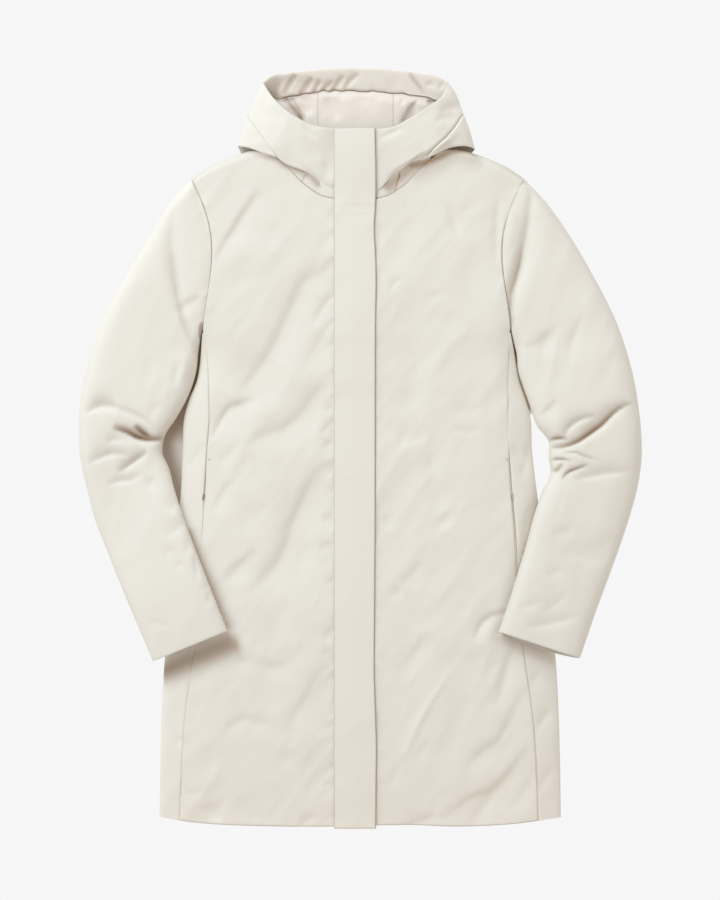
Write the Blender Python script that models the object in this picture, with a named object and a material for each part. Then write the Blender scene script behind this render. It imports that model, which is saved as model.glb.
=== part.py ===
"""A hooded softshell coat, laid flat on its back.

X runs across the coat, -X on the wearer's right. Y runs along it, +Y towards the hood. Z is up, and the surface that
the coat lies on is Z = 0. Tables and sizes are in millimetres; meshes are made in metres.
"""

import math
from collections import namedtuple

import bmesh
import bpy
import numpy as np

MM = 0.001

# Cloth
WALL = 4.0  # shell, thin wadding and lining, sewn together
LINING_WALL = 2.0  # the hood's lining alone
GAP = 0.36  # between two pieces at a seam
REST_GAP = 0.6  # between a piece and what it lies on

# Body
FOLD = 8.0  # radius of the folds at the sides
EDGE = 2 * FOLD  # height of the coat at those folds
MIDDLE_X = -4.0  # the body's middle line
CHEST_HALF = 205.0  # half width above the underarms
SIDE_BACK = 34.0  # how far a side panel reaches round to the back
ROLL = 9.0  # how far in from an outline the shoulders and the hood round over
SEAM_Z = FOLD  # height of the seam along such an outline
NECK_HALF = 118.0  # half width of the neck, measured from the middle line
BACK_NECK_DROP = 14.0
NAPE_GAP = 3.0  # between the back and the hood's back, under everything
NAPE_PLACES = 5  # places between the two ends of the nape
SHOULDER_PLACES = 4  # places along each shoulder seam

# Front closure
ZIP_X = -7.0
ZIP_HALF = 4.5
ZIP_WALL = 3.0
FLAP_RIGHT = -34.0  # sewn edge
FLAP_LEFT = 20.0  # free edge
FLAP_WALL = 4.0
FLAP_JOIN_Y = 303.0  # the cross seam below the collar
FLAP_TOP_Y = 415.0
FLAP_FOOT_Y = -493.4

# Pockets
POCKET_TOP = -12.0
POCKET_FOOT = -196.0
POCKET_OPEN = 1.6  # how far each side of the seam stands back along a pocket
LOOP_WIDTH = 5.0
LOOP_LENGTH = 11.0
LOOP_WALL = 1.6
LOOP_Y = -62.0

# The body, from the hem up. Columns: height along the coat, side fold and front seam on the wearer's right, front
# seam and side fold on the left, and the coat's height at its middle.
Body = namedtuple("Body", "y right_fold right_seam left_seam left_fold crown")
BODY = [
    Body(-479, -261, -235, 231, 261, 21),
    Body(-410, -260, -232, 229, 260, 24),
    Body(-340, -258, -227, 223, 258, 26),
    Body(-270, -254, -217, 213, 254, 27),
    Body(-206, -247, -211, 206, 247, 28),
    Body(-110, -238, -206, 201, 237, 28),
    Body(-50, -233, -202, 196, 229, 28),
    Body(-2, -229, -199, 193, 223, 28),
    Body(45, -225, -196, 192, 219, 28),
    Body(85, -214, -197, 192, 207, 29),
    Body(120, -208, -197, 191, 202, 29),
    Body(150, -205, -194, 183, 195, 30),
]

# Hem line: places across the coat, and how far down it hangs there.
HEM = [(-261, -479), (-215, -486), (-143, -490), (-33, -491), (61, -489), (132, -491), (196, -487), (261, -476)]

# Shoulder outline: distance out from the middle line, and height along the coat.
SHOULDER = [(NECK_HALF, 390), (140, 386.5), (161, 379.5), (195, 364.5), (217, 350)]

# Front neck seam: distance out from the zip line, and height along the coat.
NECKLINE = [(0, 323), (27, 324), (45, 328.5), (60, 338), (70, 346), (84, 361), (93, 369), (113, 388)]

# Sleeves, from the armhole to the cuff. Columns: the inner edge, the outer edge, how far each edge lies above the
# surface, and the sleeve's height at its middle.
Sleeve = namedtuple("Sleeve", "in_x in_y out_x out_y in_lift out_lift crown")
RIGHT_SLEEVE = [
    Sleeve(-204, 152, -219, 350, 0, 0, 26),
    Sleeve(-207.5, 140, -245, 322, 0, 0, 29),
    Sleeve(-210.5, 124, -268, 285, 0, 0, 30),
    Sleeve(-214, 104, -300, 232, 0, 0, 30),
    Sleeve(-219, 84, -331, 178, 0, 0, 31),
    Sleeve(-229, 61, -353, 115, 0, 0, 33),
    Sleeve(-240, 38, -364, 60, 0, 0, 34),
    Sleeve(-254, 16, -366, 14, 0, 0, 34),
    Sleeve(-257, -5, -363, -18, 2, 0, 32),
    Sleeve(-249, -24, -356, -50, 5, 0, 29),
    Sleeve(-241, -53, -345, -92, 12, 0, 27),
    Sleeve(-231, -84, -331, -128, 18, 3, 26),
    Sleeve(-216, -124, -312, -175, 20, 8, 26),
    Sleeve(-200, -165, -292, -222, 22.5, 12.5, 25),
    Sleeve(-185, -203, -279, -252, 24, 15, 23),
    Sleeve(-172, -236, -269, -276, 25, 17, 20),
]
LEFT_SLEEVE = [
    Sleeve(195, 154, 213, 351, 0, 0, 26),
    Sleeve(198, 141, 240, 322, 0, 0, 29),
    Sleeve(203, 123, 267, 285, 0, 0, 30),
    Sleeve(208, 100, 300, 230, 0, 0, 30),
    Sleeve(214, 78, 332, 167, 0, 0, 31),
    Sleeve(224, 55, 352, 107, 0, 0, 33),
    Sleeve(234, 29, 362, 54, 0, 0, 34),
    Sleeve(247, 8, 366, 12, 0, 0, 34),
    Sleeve(245, -12, 366, -14, 2, 0, 33),
    Sleeve(247, -32, 362, -44, 5, 0, 30),
    Sleeve(236, -56, 353, -80, 12, 0, 28),
    Sleeve(224, -90, 340, -120, 18.5, 3, 27),
    Sleeve(214, -128, 325, -161, 20, 8, 27),
    Sleeve(203, -164, 309, -203, 22.5, 12.5, 26),
    Sleeve(191, -203, 296, -240, 24, 15, 24),
    Sleeve(179, -237, 285, -272, 25, 17, 21),
]
SLEEVE_FOLD = 8.0  # radius at the sleeve's two edges
ARMHOLE_BOW = {-1: 20.0, 1: 21.0}  # how far the armhole curves in, by side
ARMHOLE_SKEW = 1.3  # puts the deepest part of that curve above its middle
TOP_PARTS = (1.0, 0.6, 0.2, -0.2, -0.6, -1.0)  # places across a sleeve's top, from outer to inner

# The hood, wearer's right and left. Each line is a few places along a soft curve.
OPENING = {
    -1: [(-126, 476), (-113, 455.6), (-103, 445), (-78, 427), (-55, 418), (-35, 416), (-12, 415.5)],
    1: [(114, 476), (103.7, 455.6), (84, 442), (63.4, 428), (44, 418), (20, 414.5), (-2, 414.5)],
}
OUTLINE = {
    -1: [(-126, 476), (-139, 449), (-146.5, 431)],
    1: [(114, 476), (124, 462), (133.6, 436)],
}
CORNER = {
    -1: [(-146.5, 431), (-152, 415), (-159, 393)],
    1: [(133.6, 436), (142, 415), (149, 389)],
}
HOOD_SEAM = {
    -1: [(-146.5, 431), (-135.5, 415), (-126, 400), (-111, 384), (-107, 376)],
    1: [(133.6, 436), (126, 422), (113, 406), (98.5, 392), (82, 374)],
}
CORNER_FOOT = {
    -1: [(-159, 393), (-145, 390), (-126, 382.5), (-107, 376)],
    1: [(149, 389), (128, 389), (105, 384), (82, 374)],
}
HOOD_FOOT = {
    -1: [(-107, 376), (-98, 369), (-74, 359.5), (-62, 353), (-54, 344), (-48, 335), (-38, 329), (-12, 325.5)],
    1: [(82, 374), (66, 367), (52, 357), (41, 345), (34, 335), (24, 329), (-2, 325.5)],
}
BRIM = [
    (-126, 476), (-118, 482.5), (-91, 488.2), (-63, 491.3), (-20, 493.1),
    (32, 492.8), (71, 488.6), (105, 482), (114, 476),
]
FACING_SEAM = [(-115, 452), (-91, 458), (-66, 463), (-20, 465.5), (32, 463.5), (67, 461), (91, 456), (105, 452)]
LINING_FOOT = [(-107, 438), (-84, 414), (-54, 401), (-20, 396), (10, 396), (42, 401), (76, 415), (97, 437)]
LINING_CUTS = (-55.0, 43.0)  # the lining's two lengthwise seams
HOOD_EDGE = 16.0  # the hood's height at its sides
HOOD_CROWN = 38.0  # and at its fullest
HOOD_RISE = 62.0  # how far in from the side it reaches that
HOOD_NECK = 30.5  # height at the neck seam
HOOD_RISE_Y = (320.0, 356.0)  # the stretch where it grows from one to the other
LINING_Z = 9.0
FACING_Z = (13.0, 9.5)  # height of the facing at the brim and at its seam
COLLAR_LEVEL_Y = 360.0  # the collar stays level past here
COLLAR_REACH = 9.0  # how far the collar goes on under the hood's overhang
NECK_OUTS = (99, 86, 74, 62, 50, 38, 27, ZIP_HALF)  # places along the neck seam, measured out from the zip line
COLLAR_OUTS = NECK_OUTS[:6]  # those that the collar takes up
COLLAR_DROP = 2.2  # how far it lies below the fronts
FLAP_LIFT = 1.6  # the storm flap's upper length lies this far above the hood's fronts

SHELL = ("shell_cloth", (0.80, 0.765, 0.70, 1.0), 0.85)
LINING = ("lining_cloth", (0.85, 0.745, 0.66, 1.0), 0.7)
TAPE = ("zip_tape", (0.78, 0.74, 0.67, 1.0), 0.6)


def curve(keys, values):
    """A smooth curve through values at rising keys."""
    keys = np.array(keys, float)
    values = np.array(values, float)
    slopes = np.gradient(values, keys, axis=0)

    def at(key):
        i = int(np.clip(np.searchsorted(keys, key) - 1, 0, len(keys) - 2))
        span = keys[i + 1] - keys[i]
        q = (min(max(key, keys[0]), keys[-1]) - keys[i]) / span
        start = (2 * q**3 - 3 * q**2 + 1) * values[i] + (q**3 - 2 * q**2 + q) * span * slopes[i]
        end = (3 * q**2 - 2 * q**3) * values[i + 1] + (q**3 - q**2) * span * slopes[i + 1]
        return start + end

    return at


def column(rows, name):
    """One column of a table with a y column, as a curve along the coat."""
    return curve([row.y for row in rows], [getattr(row, name) for row in rows])


def line(points, parts):
    """Points along a soft curve, at the given parts of its length."""
    points = np.array(points, float)
    along = np.r_[0, np.cumsum(np.linalg.norm(np.diff(points, axis=0), axis=1))]
    at = curve(along / along[-1], points)
    return np.array([at(part) for part in parts])


def ramp(value, low, high):
    """0 at low, 1 at high, soft at both ends."""
    q = min(max((value - low) / (high - low), 0), 1)
    return q * q * (3 - 2 * q)


def rounded(distance):
    """How full a piece is at a distance in from its outline: 0 there, 1 past the roll."""
    q = min(max(distance / ROLL, 0), 1)
    return math.sqrt(1 - (1 - q) ** 2)


FOLDS = {-1: column(BODY, "right_fold"), 1: column(BODY, "left_fold")}
SEAMS = {-1: column(BODY, "right_seam"), 1: column(BODY, "left_seam")}
BODY_CROWN = column(BODY, "crown")
HEM_AT = curve(*zip(*HEM))
SHOULDER_AT = curve(*zip(*SHOULDER))
NECKLINE_AT = curve(*zip(*NECKLINE))
SLEEVES = {-1: RIGHT_SLEEVE, 1: LEFT_SLEEVE}
UNDERARM_Y = BODY[-1].y


def armhole(side, part):
    """A place on the armhole seam: part 0 at the underarm, 1 at the shoulder."""
    first = SLEEVES[side][0]
    bow = ARMHOLE_BOW[side] * math.sin(math.pi * min(max(part, 0), 1) ** ARMHOLE_SKEW)
    x = first.in_x + (first.out_x - first.in_x) * part - side * bow
    return np.array([x, first.in_y + (first.out_y - first.in_y) * part])


def armhole_part(side, y):
    first = SLEEVES[side][0]
    return min(max((y - first.in_y) / (first.out_y - first.in_y), 0), 1)


def arm_top(crown, across):
    """Height of a sleeve's top, across = -1 at its inner edge and 1 at its outer one."""
    return EDGE + (crown - EDGE) * (1 - across**2)


def shoulder_y(x):
    return float(SHOULDER_AT(abs(x - MIDDLE_X)))


def body_top(x, y):
    """Height of the body's upper side."""
    side = -1 if x < MIDDLE_X else 1
    half = abs(FOLDS[side](y) - MIDDLE_X) - FOLD if y < UNDERARM_Y else CHEST_HALF
    across = min(abs(x - MIDDLE_X) / half, 1)
    height = EDGE + (BODY_CROWN(y) - EDGE) * (1 - across**2)
    if y > UNDERARM_Y:
        part = armhole_part(side, y)
        edge_x = armhole(side, part)[0]
        sleeve_height = arm_top(SLEEVES[side][0].crown, 2 * part - 1)
        edge_across = min(abs(edge_x - MIDDLE_X) / half, 1)
        own_height = EDGE + (BODY_CROWN(y) - EDGE) * (1 - edge_across**2)
        height += (sleeve_height - own_height) * (1 - ramp(abs(edge_x - x), 0, 70))
    if abs(x - MIDDLE_X) > NECK_HALF - 30:
        seam = SEAM_Z + WALL + GAP / 2
        height = seam + (height - seam) * rounded(shoulder_y(x) - y)
    return height


def outline_x(side, y):
    """The hood's side outline at a height along the coat."""
    points = sorted(OUTLINE[side] + CORNER[side][1:], key=lambda p: p[1])
    return float(np.interp(y, [p[1] for p in points], [p[0] for p in points]))


def hood_top(x, y):
    """Height of the hood's upper side."""
    side = -1 if x < MIDDLE_X else 1
    inward = abs(outline_x(side, y)) - abs(x)
    crown = HOOD_NECK + (HOOD_CROWN - HOOD_NECK) * ramp(y, *HOOD_RISE_Y)
    height = HOOD_EDGE + (crown - HOOD_EDGE) * math.sin(math.pi / 2 * min(max(inward / HOOD_RISE, 0), 1))
    seam = SEAM_Z + WALL + GAP / 2
    return seam + (height - seam) * rounded(inward)


def centre_top(x, y):
    """Height of what the storm flap lies on: the fronts, then the hood."""
    low, high = HOOD_RISE_Y
    return max(body_top(x, min(y, low)), hood_top(x, y)) if y > low else body_top(x, y)


def patch(foot, head, left, right):
    """A grid of places between four edges: foot and head run the same way, left and right run from foot to head."""
    def parts(one, other):
        lengths = [np.r_[0, np.cumsum(np.linalg.norm(np.diff(e, axis=0), axis=1))] for e in (one, other)]
        return sum(length / length[-1] for length in lengths) / 2

    u = parts(foot, head)[None, :, None]
    v = parts(left, right)[:, None, None]
    between_ends = (1 - v) * foot[None] + v * head[None]
    between_sides = (1 - u) * left[:, None] + u * right[:, None]
    corners = (1 - v) * ((1 - u) * foot[0] + u * foot[-1]) + v * ((1 - u) * head[0] + u * head[-1])
    return between_ends + between_sides - corners


def inset(grid, by=GAP / 2):
    """Moves a grid's edges inwards, which leaves the seam gaps."""
    moved = grid.copy()
    for turn in range(4):
        view = np.rot90(moved, turn)
        source = np.rot90(grid, turn)
        along = np.gradient(source[0], axis=0)
        across = np.stack([-along[:, 1], along[:, 0]], axis=1)
        across /= np.linalg.norm(across, axis=1)[:, None]
        inward = np.sign(np.sum(across * (source[1] - source[0]), axis=1))[:, None]
        view[0] += across * inward * by
    return moved


def lay(grid, height):
    """Gives each place of a flat grid its height."""
    flat = [[(x, y, height(x, y)) for x, y in row] for row in grid]
    return np.array(flat)


def finish(slot):
    name, colour, roughness = slot
    material = bpy.data.materials.get(name) or bpy.data.materials.new(name)
    material.use_nodes = True
    shader = material.node_tree.nodes["Principled BSDF"]
    shader.inputs["Base Color"].default_value = colour
    shader.inputs["Roughness"].default_value = roughness
    shader.inputs["Metallic"].default_value = 0.0
    return material


def solid(name, outer, inner, slot, closed=False):
    """Joins two grids of points into one wall. A closed one goes right round, as a sleeve does."""
    rows, cols = outer.shape[:2]
    mesh = bmesh.new()
    grids = [[[mesh.verts.new(p * MM) for p in row] for row in grid] for grid in (outer, inner)]
    steps = range(cols if closed else cols - 1)
    for grid in grids:
        for i in range(rows - 1):
            for j in steps:
                k = (j + 1) % cols
                mesh.faces.new((grid[i][j], grid[i][k], grid[i + 1][k], grid[i + 1][j]))
    skin, back = grids
    for i in (0, rows - 1):
        for j in steps:
            k = (j + 1) % cols
            mesh.faces.new((skin[i][j], skin[i][k], back[i][k], back[i][j]))
    if not closed:
        for j in (0, cols - 1):
            for i in range(rows - 1):
                mesh.faces.new((skin[i][j], skin[i + 1][j], back[i + 1][j], back[i][j]))
    bmesh.ops.recalc_face_normals(mesh, faces=mesh.faces)
    data = bpy.data.meshes.new(name)
    mesh.to_mesh(data)
    mesh.free()
    data.shade_smooth()
    data.set_sharp_from_angle(angle=math.radians(40))
    data.materials.append(finish(slot))
    piece = bpy.data.objects.new(name, data)
    bpy.context.scene.collection.objects.link(piece)
    return piece


def upper(name, grid, height, slot=SHELL, wall=WALL):
    """A piece on the upper side: its top has the height given, and its wall goes down from there."""
    top = lay(grid, height)
    return solid(name, top, top - [0, 0, wall], slot)


def lower(name, grid, height):
    """A piece on the underside: its bottom has the height given, and its wall goes up from there."""
    bottom = lay(grid, height)
    return solid(name, bottom, bottom + [0, 0, WALL], SHELL)


def pocket_gap(y):
    """How far a side seam's edges stand back at a pocket."""
    return POCKET_OPEN if POCKET_FOOT <= y <= POCKET_TOP else 0.0


BODY_ROWS = sorted([row.y for row in BODY] + [POCKET_FOOT, POCKET_TOP])


def armhole_parts(side):
    """Places along an armhole: those of the sleeve's top, then two more where the shoulder rounds over."""
    first = SLEEVES[side][0]
    length = math.hypot(first.out_x - first.in_x, first.out_y - first.in_y)
    return [0.5 + 0.5 * t * (1 - 2 * SLEEVE_FOLD / length) for t in TOP_PARTS[::-1]] + [0.985, 1.0]


def side_panel(name, side):
    """From the front seam, round the side fold, to the seam on the back."""
    outer, inner = [], []
    for i, y in enumerate(BODY_ROWS):
        fold = FOLDS[side](y)
        seam = SEAMS[side](y) + side * (GAP / 2 + pocket_gap(y))
        centre = fold - side * FOLD
        back = fold - side * SIDE_BACK
        ring = [(seam, body_top(seam, y), 0, -1)]
        ring += [((seam + centre) / 2, body_top((seam + centre) / 2, y), 0, -1)]
        for angle in (90, 50, 18, -18, -50, -90):
            out, up = math.cos(math.radians(angle)), math.sin(math.radians(angle))
            ring.append((centre + side * FOLD * out, FOLD + FOLD * up, -side * out, -up))
        ring += [((centre + back) / 2, 0, 0, 1), (back + side * GAP / 2, 0, 0, 1)]
        low = HEM_AT if i == 0 else (lambda x, y=y: y)
        outer.append([(x, low(x), z) for x, z, _, _ in ring])
        inner.append([(x + WALL * dx, low(x), z + WALL * dz) for x, z, dx, dz in ring])
    return solid(name, np.array(outer), np.array(inner), SHELL)


def front(name, side):
    """From the side seam and the armhole to the zip, up to the shoulder and the neck seam."""
    edge = [(SEAMS[side](y) - side * pocket_gap(y), y) for y in BODY_ROWS]
    edge[0] = (edge[0][0], HEM_AT(edge[0][0]))
    parts = armhole_parts(side)
    edge += [armhole(side, part) for part in parts]
    edge = np.array(edge)
    zip_x = ZIP_X + side * ZIP_HALF
    neck_y = float(NECKLINE_AT(ZIP_HALF))
    low_y = float(HEM_AT(zip_x))
    levels = [low_y] + BODY_ROWS[1:] + [UNDERARM_Y + (neck_y - UNDERARM_Y) * part for part in parts]
    middle = np.array([(zip_x, y) for y in levels])
    count = SHOULDER_PLACES + len(NECK_OUTS)
    foot = np.array([(x, HEM_AT(x)) for x in np.linspace(edge[0][0], zip_x, count)])
    tip_x = edge[-1][0]
    neck_x = MIDDLE_X + side * NECK_HALF
    head = [(x, shoulder_y(x)) for x in np.linspace(tip_x, neck_x, SHOULDER_PLACES)]
    head += [(ZIP_X + side * out, float(NECKLINE_AT(out))) for out in NECK_OUTS]
    head[0] = tuple(edge[-1])
    grid = inset(patch(foot, np.array(head), edge, middle))
    return upper(name, grid, body_top)


def back_head():
    """The back's upper edge, along both shoulders and the nape."""
    tips = [armhole(side, 1.0) for side in (-1, 1)]
    necks = [MIDDLE_X + side * NECK_HALF for side in (-1, 1)]
    head = [(x, shoulder_y(x)) for x in np.linspace(tips[0][0], necks[0], SHOULDER_PLACES)]
    head += [(x, back_neck_y(x)) for x in np.linspace(*necks, NAPE_PLACES + 2)[1:-1]]
    head += [(x, shoulder_y(x)) for x in np.linspace(necks[1], tips[1][0], SHOULDER_PLACES)]
    return np.array([tips[0]] + head[1:-1] + [tips[1]])


def back():
    """One piece, flat on the surface, turned up a little along the shoulders."""
    edges = {}
    for side in (-1, 1):
        edge = [(FOLDS[side](y) - side * SIDE_BACK, y) for y in BODY_ROWS]
        edge[0] = (edge[0][0], HEM_AT(edge[0][0]))
        edges[side] = np.array(edge + [armhole(side, part) for part in armhole_parts(side)])
    head = back_head()
    foot_x = np.linspace(edges[-1][0][0], edges[1][0][0], len(head))
    foot = np.array([(x, HEM_AT(x)) for x in foot_x])
    grid = inset(patch(foot, head, edges[-1], edges[1]))

    def underside(x, y):
        if abs(x - MIDDLE_X) < NECK_HALF - 1:
            return 0.0
        return (SEAM_Z - WALL - GAP / 2) * (1 - rounded(shoulder_y(x) - y))

    return lower("back", grid, underside)


def back_neck_y(x):
    out = abs(x - MIDDLE_X) / NECK_HALF
    return SHOULDER[0][1] - BACK_NECK_DROP * (1 - min(out, 1) ** 2)


def sleeve(name, side):
    """A bent, flattened tube."""
    arc = [math.radians(angle) for angle in (60, 30, 0, -30, -60)]
    outer, inner = [], []
    for i, row in enumerate(SLEEVES[side]):
        start = np.array([row.in_x, row.in_y], float)
        end = np.array([row.out_x, row.out_y], float)
        width = np.linalg.norm(end - start)
        for rings, cut in ((outer, 0.0), (inner, WALL)):
            straight = width / 2 - SLEEVE_FOLD
            radius = SLEEVE_FOLD - cut
            top = [(t * straight, arm_top(row.crown, t) - cut) for t in TOP_PARTS]
            turn_in = [(-straight - radius * math.cos(a), SLEEVE_FOLD + radius * math.sin(a)) for a in arc]
            base = [(t * straight, cut) for t in TOP_PARTS[::-1]]
            turn_out = [(straight + radius * math.cos(a), SLEEVE_FOLD + radius * math.sin(a)) for a in arc[::-1]]
            ring = []
            for across, up in top + turn_in + base + turn_out:
                part = 0.5 + across / width
                x, y = start + (end - start) * part
                if i == 0:
                    x = armhole(side, part)[0] + side * GAP / 2
                ring.append((x, y, row.in_lift + (row.out_lift - row.in_lift) * part + up))
            rings.append(ring)
    return solid(name, np.array(outer), np.array(inner), SHELL, closed=True)


def flap(name, foot_y, head_y, count, lift):
    """A length of the storm flap, made from the points of what it lies on, moved up."""
    xs = (FLAP_RIGHT, (FLAP_RIGHT + ZIP_X) / 2, ZIP_X, (FLAP_LEFT + ZIP_X) / 2, FLAP_LEFT)
    grid = np.array([[(x, y) for x in xs] for y in np.linspace(foot_y, head_y, count)])
    return upper(name, inset(grid), lambda x, y: centre_top(x, y) + lift + FLAP_WALL, wall=FLAP_WALL)


def zip_strip():
    """The closed zip, plain, level with the fronts on both sides."""
    rows = [float(HEM_AT(ZIP_X))] + BODY_ROWS[1:] + [200, 260, 300, 325, 338, 350, 380, FLAP_TOP_Y - 1]
    grid = np.array([[(ZIP_X - ZIP_HALF, y), (ZIP_X + ZIP_HALF, y)] for y in rows])
    return upper("zip_front", inset(grid), centre_top, TAPE, ZIP_WALL)


def pocket_zip(name, side):
    """A concealed zip, set in the side seam and a little below the cloth."""
    rows = [y for y in BODY_ROWS if POCKET_FOOT < y < POCKET_TOP]
    rows = [POCKET_FOOT + 3] + rows + [POCKET_TOP - 3]
    seam = np.interp(rows, BODY_ROWS, [SEAMS[side](y) for y in BODY_ROWS])
    half = POCKET_OPEN - GAP / 2
    grid = np.array([[(x - half, y), (x + half, y)] for x, y in zip(seam, rows)])
    return upper(name, grid, lambda x, y: body_top(x, y) - 1.0, TAPE, LINING_WALL)


def pocket_loop(name, side):
    """A small loop of cloth that pulls the pocket zip, lying on the front beside the seam."""
    x = SEAMS[side](LOOP_Y) - side * (POCKET_OPEN + 1)
    ends = (x, x - side * LOOP_WIDTH)
    grid = np.array([[(min(ends), y), (max(ends), y)] for y in (LOOP_Y, LOOP_Y + LOOP_LENGTH)])
    return upper(name, grid, lambda x, y: body_top(x, y) + REST_GAP + LOOP_WALL, SHELL, LOOP_WALL)


def hood_back():
    """The hood's back and crown, flat on the surface and turned up along its outline."""
    def side_line(side):
        points = CORNER[side][::-1] + OUTLINE[side][::-1][1:]
        return line(points, (0, 0.25, 0.5, 0.75, 0.94, 1))

    def underside(x, y):
        inward = [abs(outline_x(side, y)) - abs(x) for side in (-1, 1) if x * side >= 0]
        inward.append(float(np.interp(x, [p[0] for p in BRIM], [p[1] for p in BRIM])) - y)
        return (SEAM_Z - WALL - GAP / 2) * (1 - rounded(min(inward)))

    parts = (0, 0.01, 0.03, 0.1, 0.25, 0.4, 0.6, 0.75, 0.9, 0.97, 0.99, 1)
    head = line(BRIM, parts)
    corners = CORNER[-1][-1], CORNER[1][-1]
    foot_x = corners[0][0] + (corners[1][0] - corners[0][0]) * np.array(parts)
    foot = np.stack([foot_x, np.interp(foot_x, *back_head().T) + NAPE_GAP], axis=1)
    foot[0], foot[-1] = corners
    grid = inset(patch(foot, head, side_line(-1), side_line(1)))
    return lower("hood_back", grid, underside)


def hood_front(name, side):
    """From the hood's opening down to the neck seam, cut off by the diagonal seam."""
    outline = line(OUTLINE[side], (0, 0.4, 0.75, 1))
    seam = line(HOOD_SEAM[side], (0.33, 0.66, 1))
    edge = np.vstack([outline, seam])
    count = len(edge)
    top = line(OPENING[side], (0, 0.03, 0.1, 0.25, 0.42, 0.6, 0.8, 1))
    foot = line(HOOD_FOOT[side], (0, 0.12, 0.25, 0.4, 0.55, 0.7, 0.85, 1))
    middle = np.linspace(top[-1], foot[-1], count)
    grid = inset(patch(top, foot, edge, middle))
    return upper(name, grid, hood_top)


def hood_side(name, side):
    """The hood's lower outer corner, between its outline, its foot and the diagonal seam."""
    parts = (0.1, 0.33, 0.66, 1)
    outer = line(CORNER[side], parts)
    seam = line(HOOD_SEAM[side], parts)
    across = (0, 0.06, 0.2, 0.45, 0.7, 1)
    foot = line(CORNER_FOOT[side], across)
    head = np.array([outer[0] + (seam[0] - outer[0]) * part for part in across])
    grid = inset(patch(head, foot, outer, seam))
    return upper(name, grid, hood_top)


def collar(name, side):
    """The strip seen between the neck seam and the hood's overhang."""
    foot = np.array([(ZIP_X + side * out, float(NECKLINE_AT(out))) for out in COLLAR_OUTS])
    keys = sorted((abs(x - ZIP_X), y) for x, y in HOOD_FOOT[side])
    hang = curve([k[0] for k in keys], [k[1] for k in keys])
    reach = np.array([(x, max(hang(abs(x - ZIP_X)), y + 4) + COLLAR_REACH) for x, y in foot])
    grid = inset(patch(foot, reach, np.linspace(foot[0], reach[0], 3), np.linspace(foot[-1], reach[-1], 3)))
    return upper(name, grid, lambda x, y: body_top(x, min(y, COLLAR_LEVEL_Y)) - COLLAR_DROP)


FACING_PARTS = (0, 0.04, 0.12, 0.25, 0.38, 0.5, 0.62, 0.75, 0.88, 0.96, 1)


def facing():
    """The self-cloth band inside the brim."""
    brim = line(BRIM, FACING_PARTS)
    seam = line(FACING_SEAM, FACING_PARTS)
    sides = [np.linspace(seam[i], brim[i], 4) for i in (0, -1)]
    grid = inset(patch(seam, brim, *sides))

    def height(x, y):
        brim_y = float(np.interp(x, [p[0] for p in BRIM], [p[1] for p in BRIM]))
        high, low = FACING_Z
        depth = min(max((brim_y - y) / 28, 0), 1)
        seam_z = SEAM_Z + WALL + GAP / 2
        return (seam_z + (high - seam_z) * rounded(brim_y - y)) * (1 - depth) + low * depth

    return upper("hood_facing", grid, height)


def lining(name, low_x, high_x):
    """A piece of the hood's lining, from the facing down under the hood's front."""
    xs = np.linspace(low_x, high_x, 5)
    foot_at = curve(*zip(*LINING_FOOT))
    foot = np.array([(x, foot_at(x)) for x in xs])
    head = np.stack([xs, np.interp(xs, *line(FACING_SEAM, FACING_PARTS).T) - REST_GAP], axis=1)
    grid = np.linspace(foot, head, 4)
    return upper(name, inset(grid), lambda x, y: LINING_Z, LINING, LINING_WALL)


def build():
    for piece in list(bpy.data.objects):
        bpy.data.objects.remove(piece, do_unlink=True)
    back()
    for word, side in (("right", -1), ("left", 1)):
        side_panel(f"side_{word}", side)
        front(f"front_{word}", side)
        sleeve(f"sleeve_{word}", side)
        pocket_zip(f"pocket_zip_{word}", side)
        pocket_loop(f"pocket_loop_{word}", side)
        collar(f"collar_{word}", side)
        hood_front(f"hood_front_{word}", side)
        hood_side(f"hood_side_{word}", side)
    zip_strip()
    flap("placket_lower", FLAP_FOOT_Y, FLAP_JOIN_Y, 16, REST_GAP)
    flap("placket_upper", FLAP_JOIN_Y, FLAP_TOP_Y, 9, FLAP_LIFT)
    hood_back()
    facing()
    low, high = LINING_CUTS
    lining("hood_lining_right", LINING_FOOT[0][0], low)
    lining("hood_lining_centre", low, high)
    lining("hood_lining_left", high, LINING_FOOT[-1][0])


build()
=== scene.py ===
# %% [markdown]
# # A hooded softshell coat, laid flat
# The coat is sewn from flat panels of a light three-layer cloth: a close-woven shell, a thin wadding and a
# lining. It lies on its back on a pale floor, so every panel is a thin wall that rests on the one below it.
# The solid model gives the place and the outline of each panel. Here each panel is made again with a fine
# grid of points, so that it can carry its folds, its seams and its weave.

# %% Load the frame
import math
from collections import namedtuple

import bpy
import numpy as np
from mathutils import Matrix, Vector


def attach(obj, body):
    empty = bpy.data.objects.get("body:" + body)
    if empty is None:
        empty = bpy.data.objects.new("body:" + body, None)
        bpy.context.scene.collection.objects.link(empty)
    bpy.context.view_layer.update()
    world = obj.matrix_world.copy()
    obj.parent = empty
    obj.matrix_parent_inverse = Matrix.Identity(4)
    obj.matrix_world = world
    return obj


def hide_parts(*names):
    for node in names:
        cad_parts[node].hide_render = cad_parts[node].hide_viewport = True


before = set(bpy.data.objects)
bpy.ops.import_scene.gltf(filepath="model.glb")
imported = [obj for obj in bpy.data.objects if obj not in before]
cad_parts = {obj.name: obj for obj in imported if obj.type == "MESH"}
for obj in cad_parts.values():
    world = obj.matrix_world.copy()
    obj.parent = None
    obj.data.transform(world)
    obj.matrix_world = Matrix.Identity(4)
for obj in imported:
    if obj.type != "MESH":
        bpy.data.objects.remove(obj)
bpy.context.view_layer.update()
MM = 0.001

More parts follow.
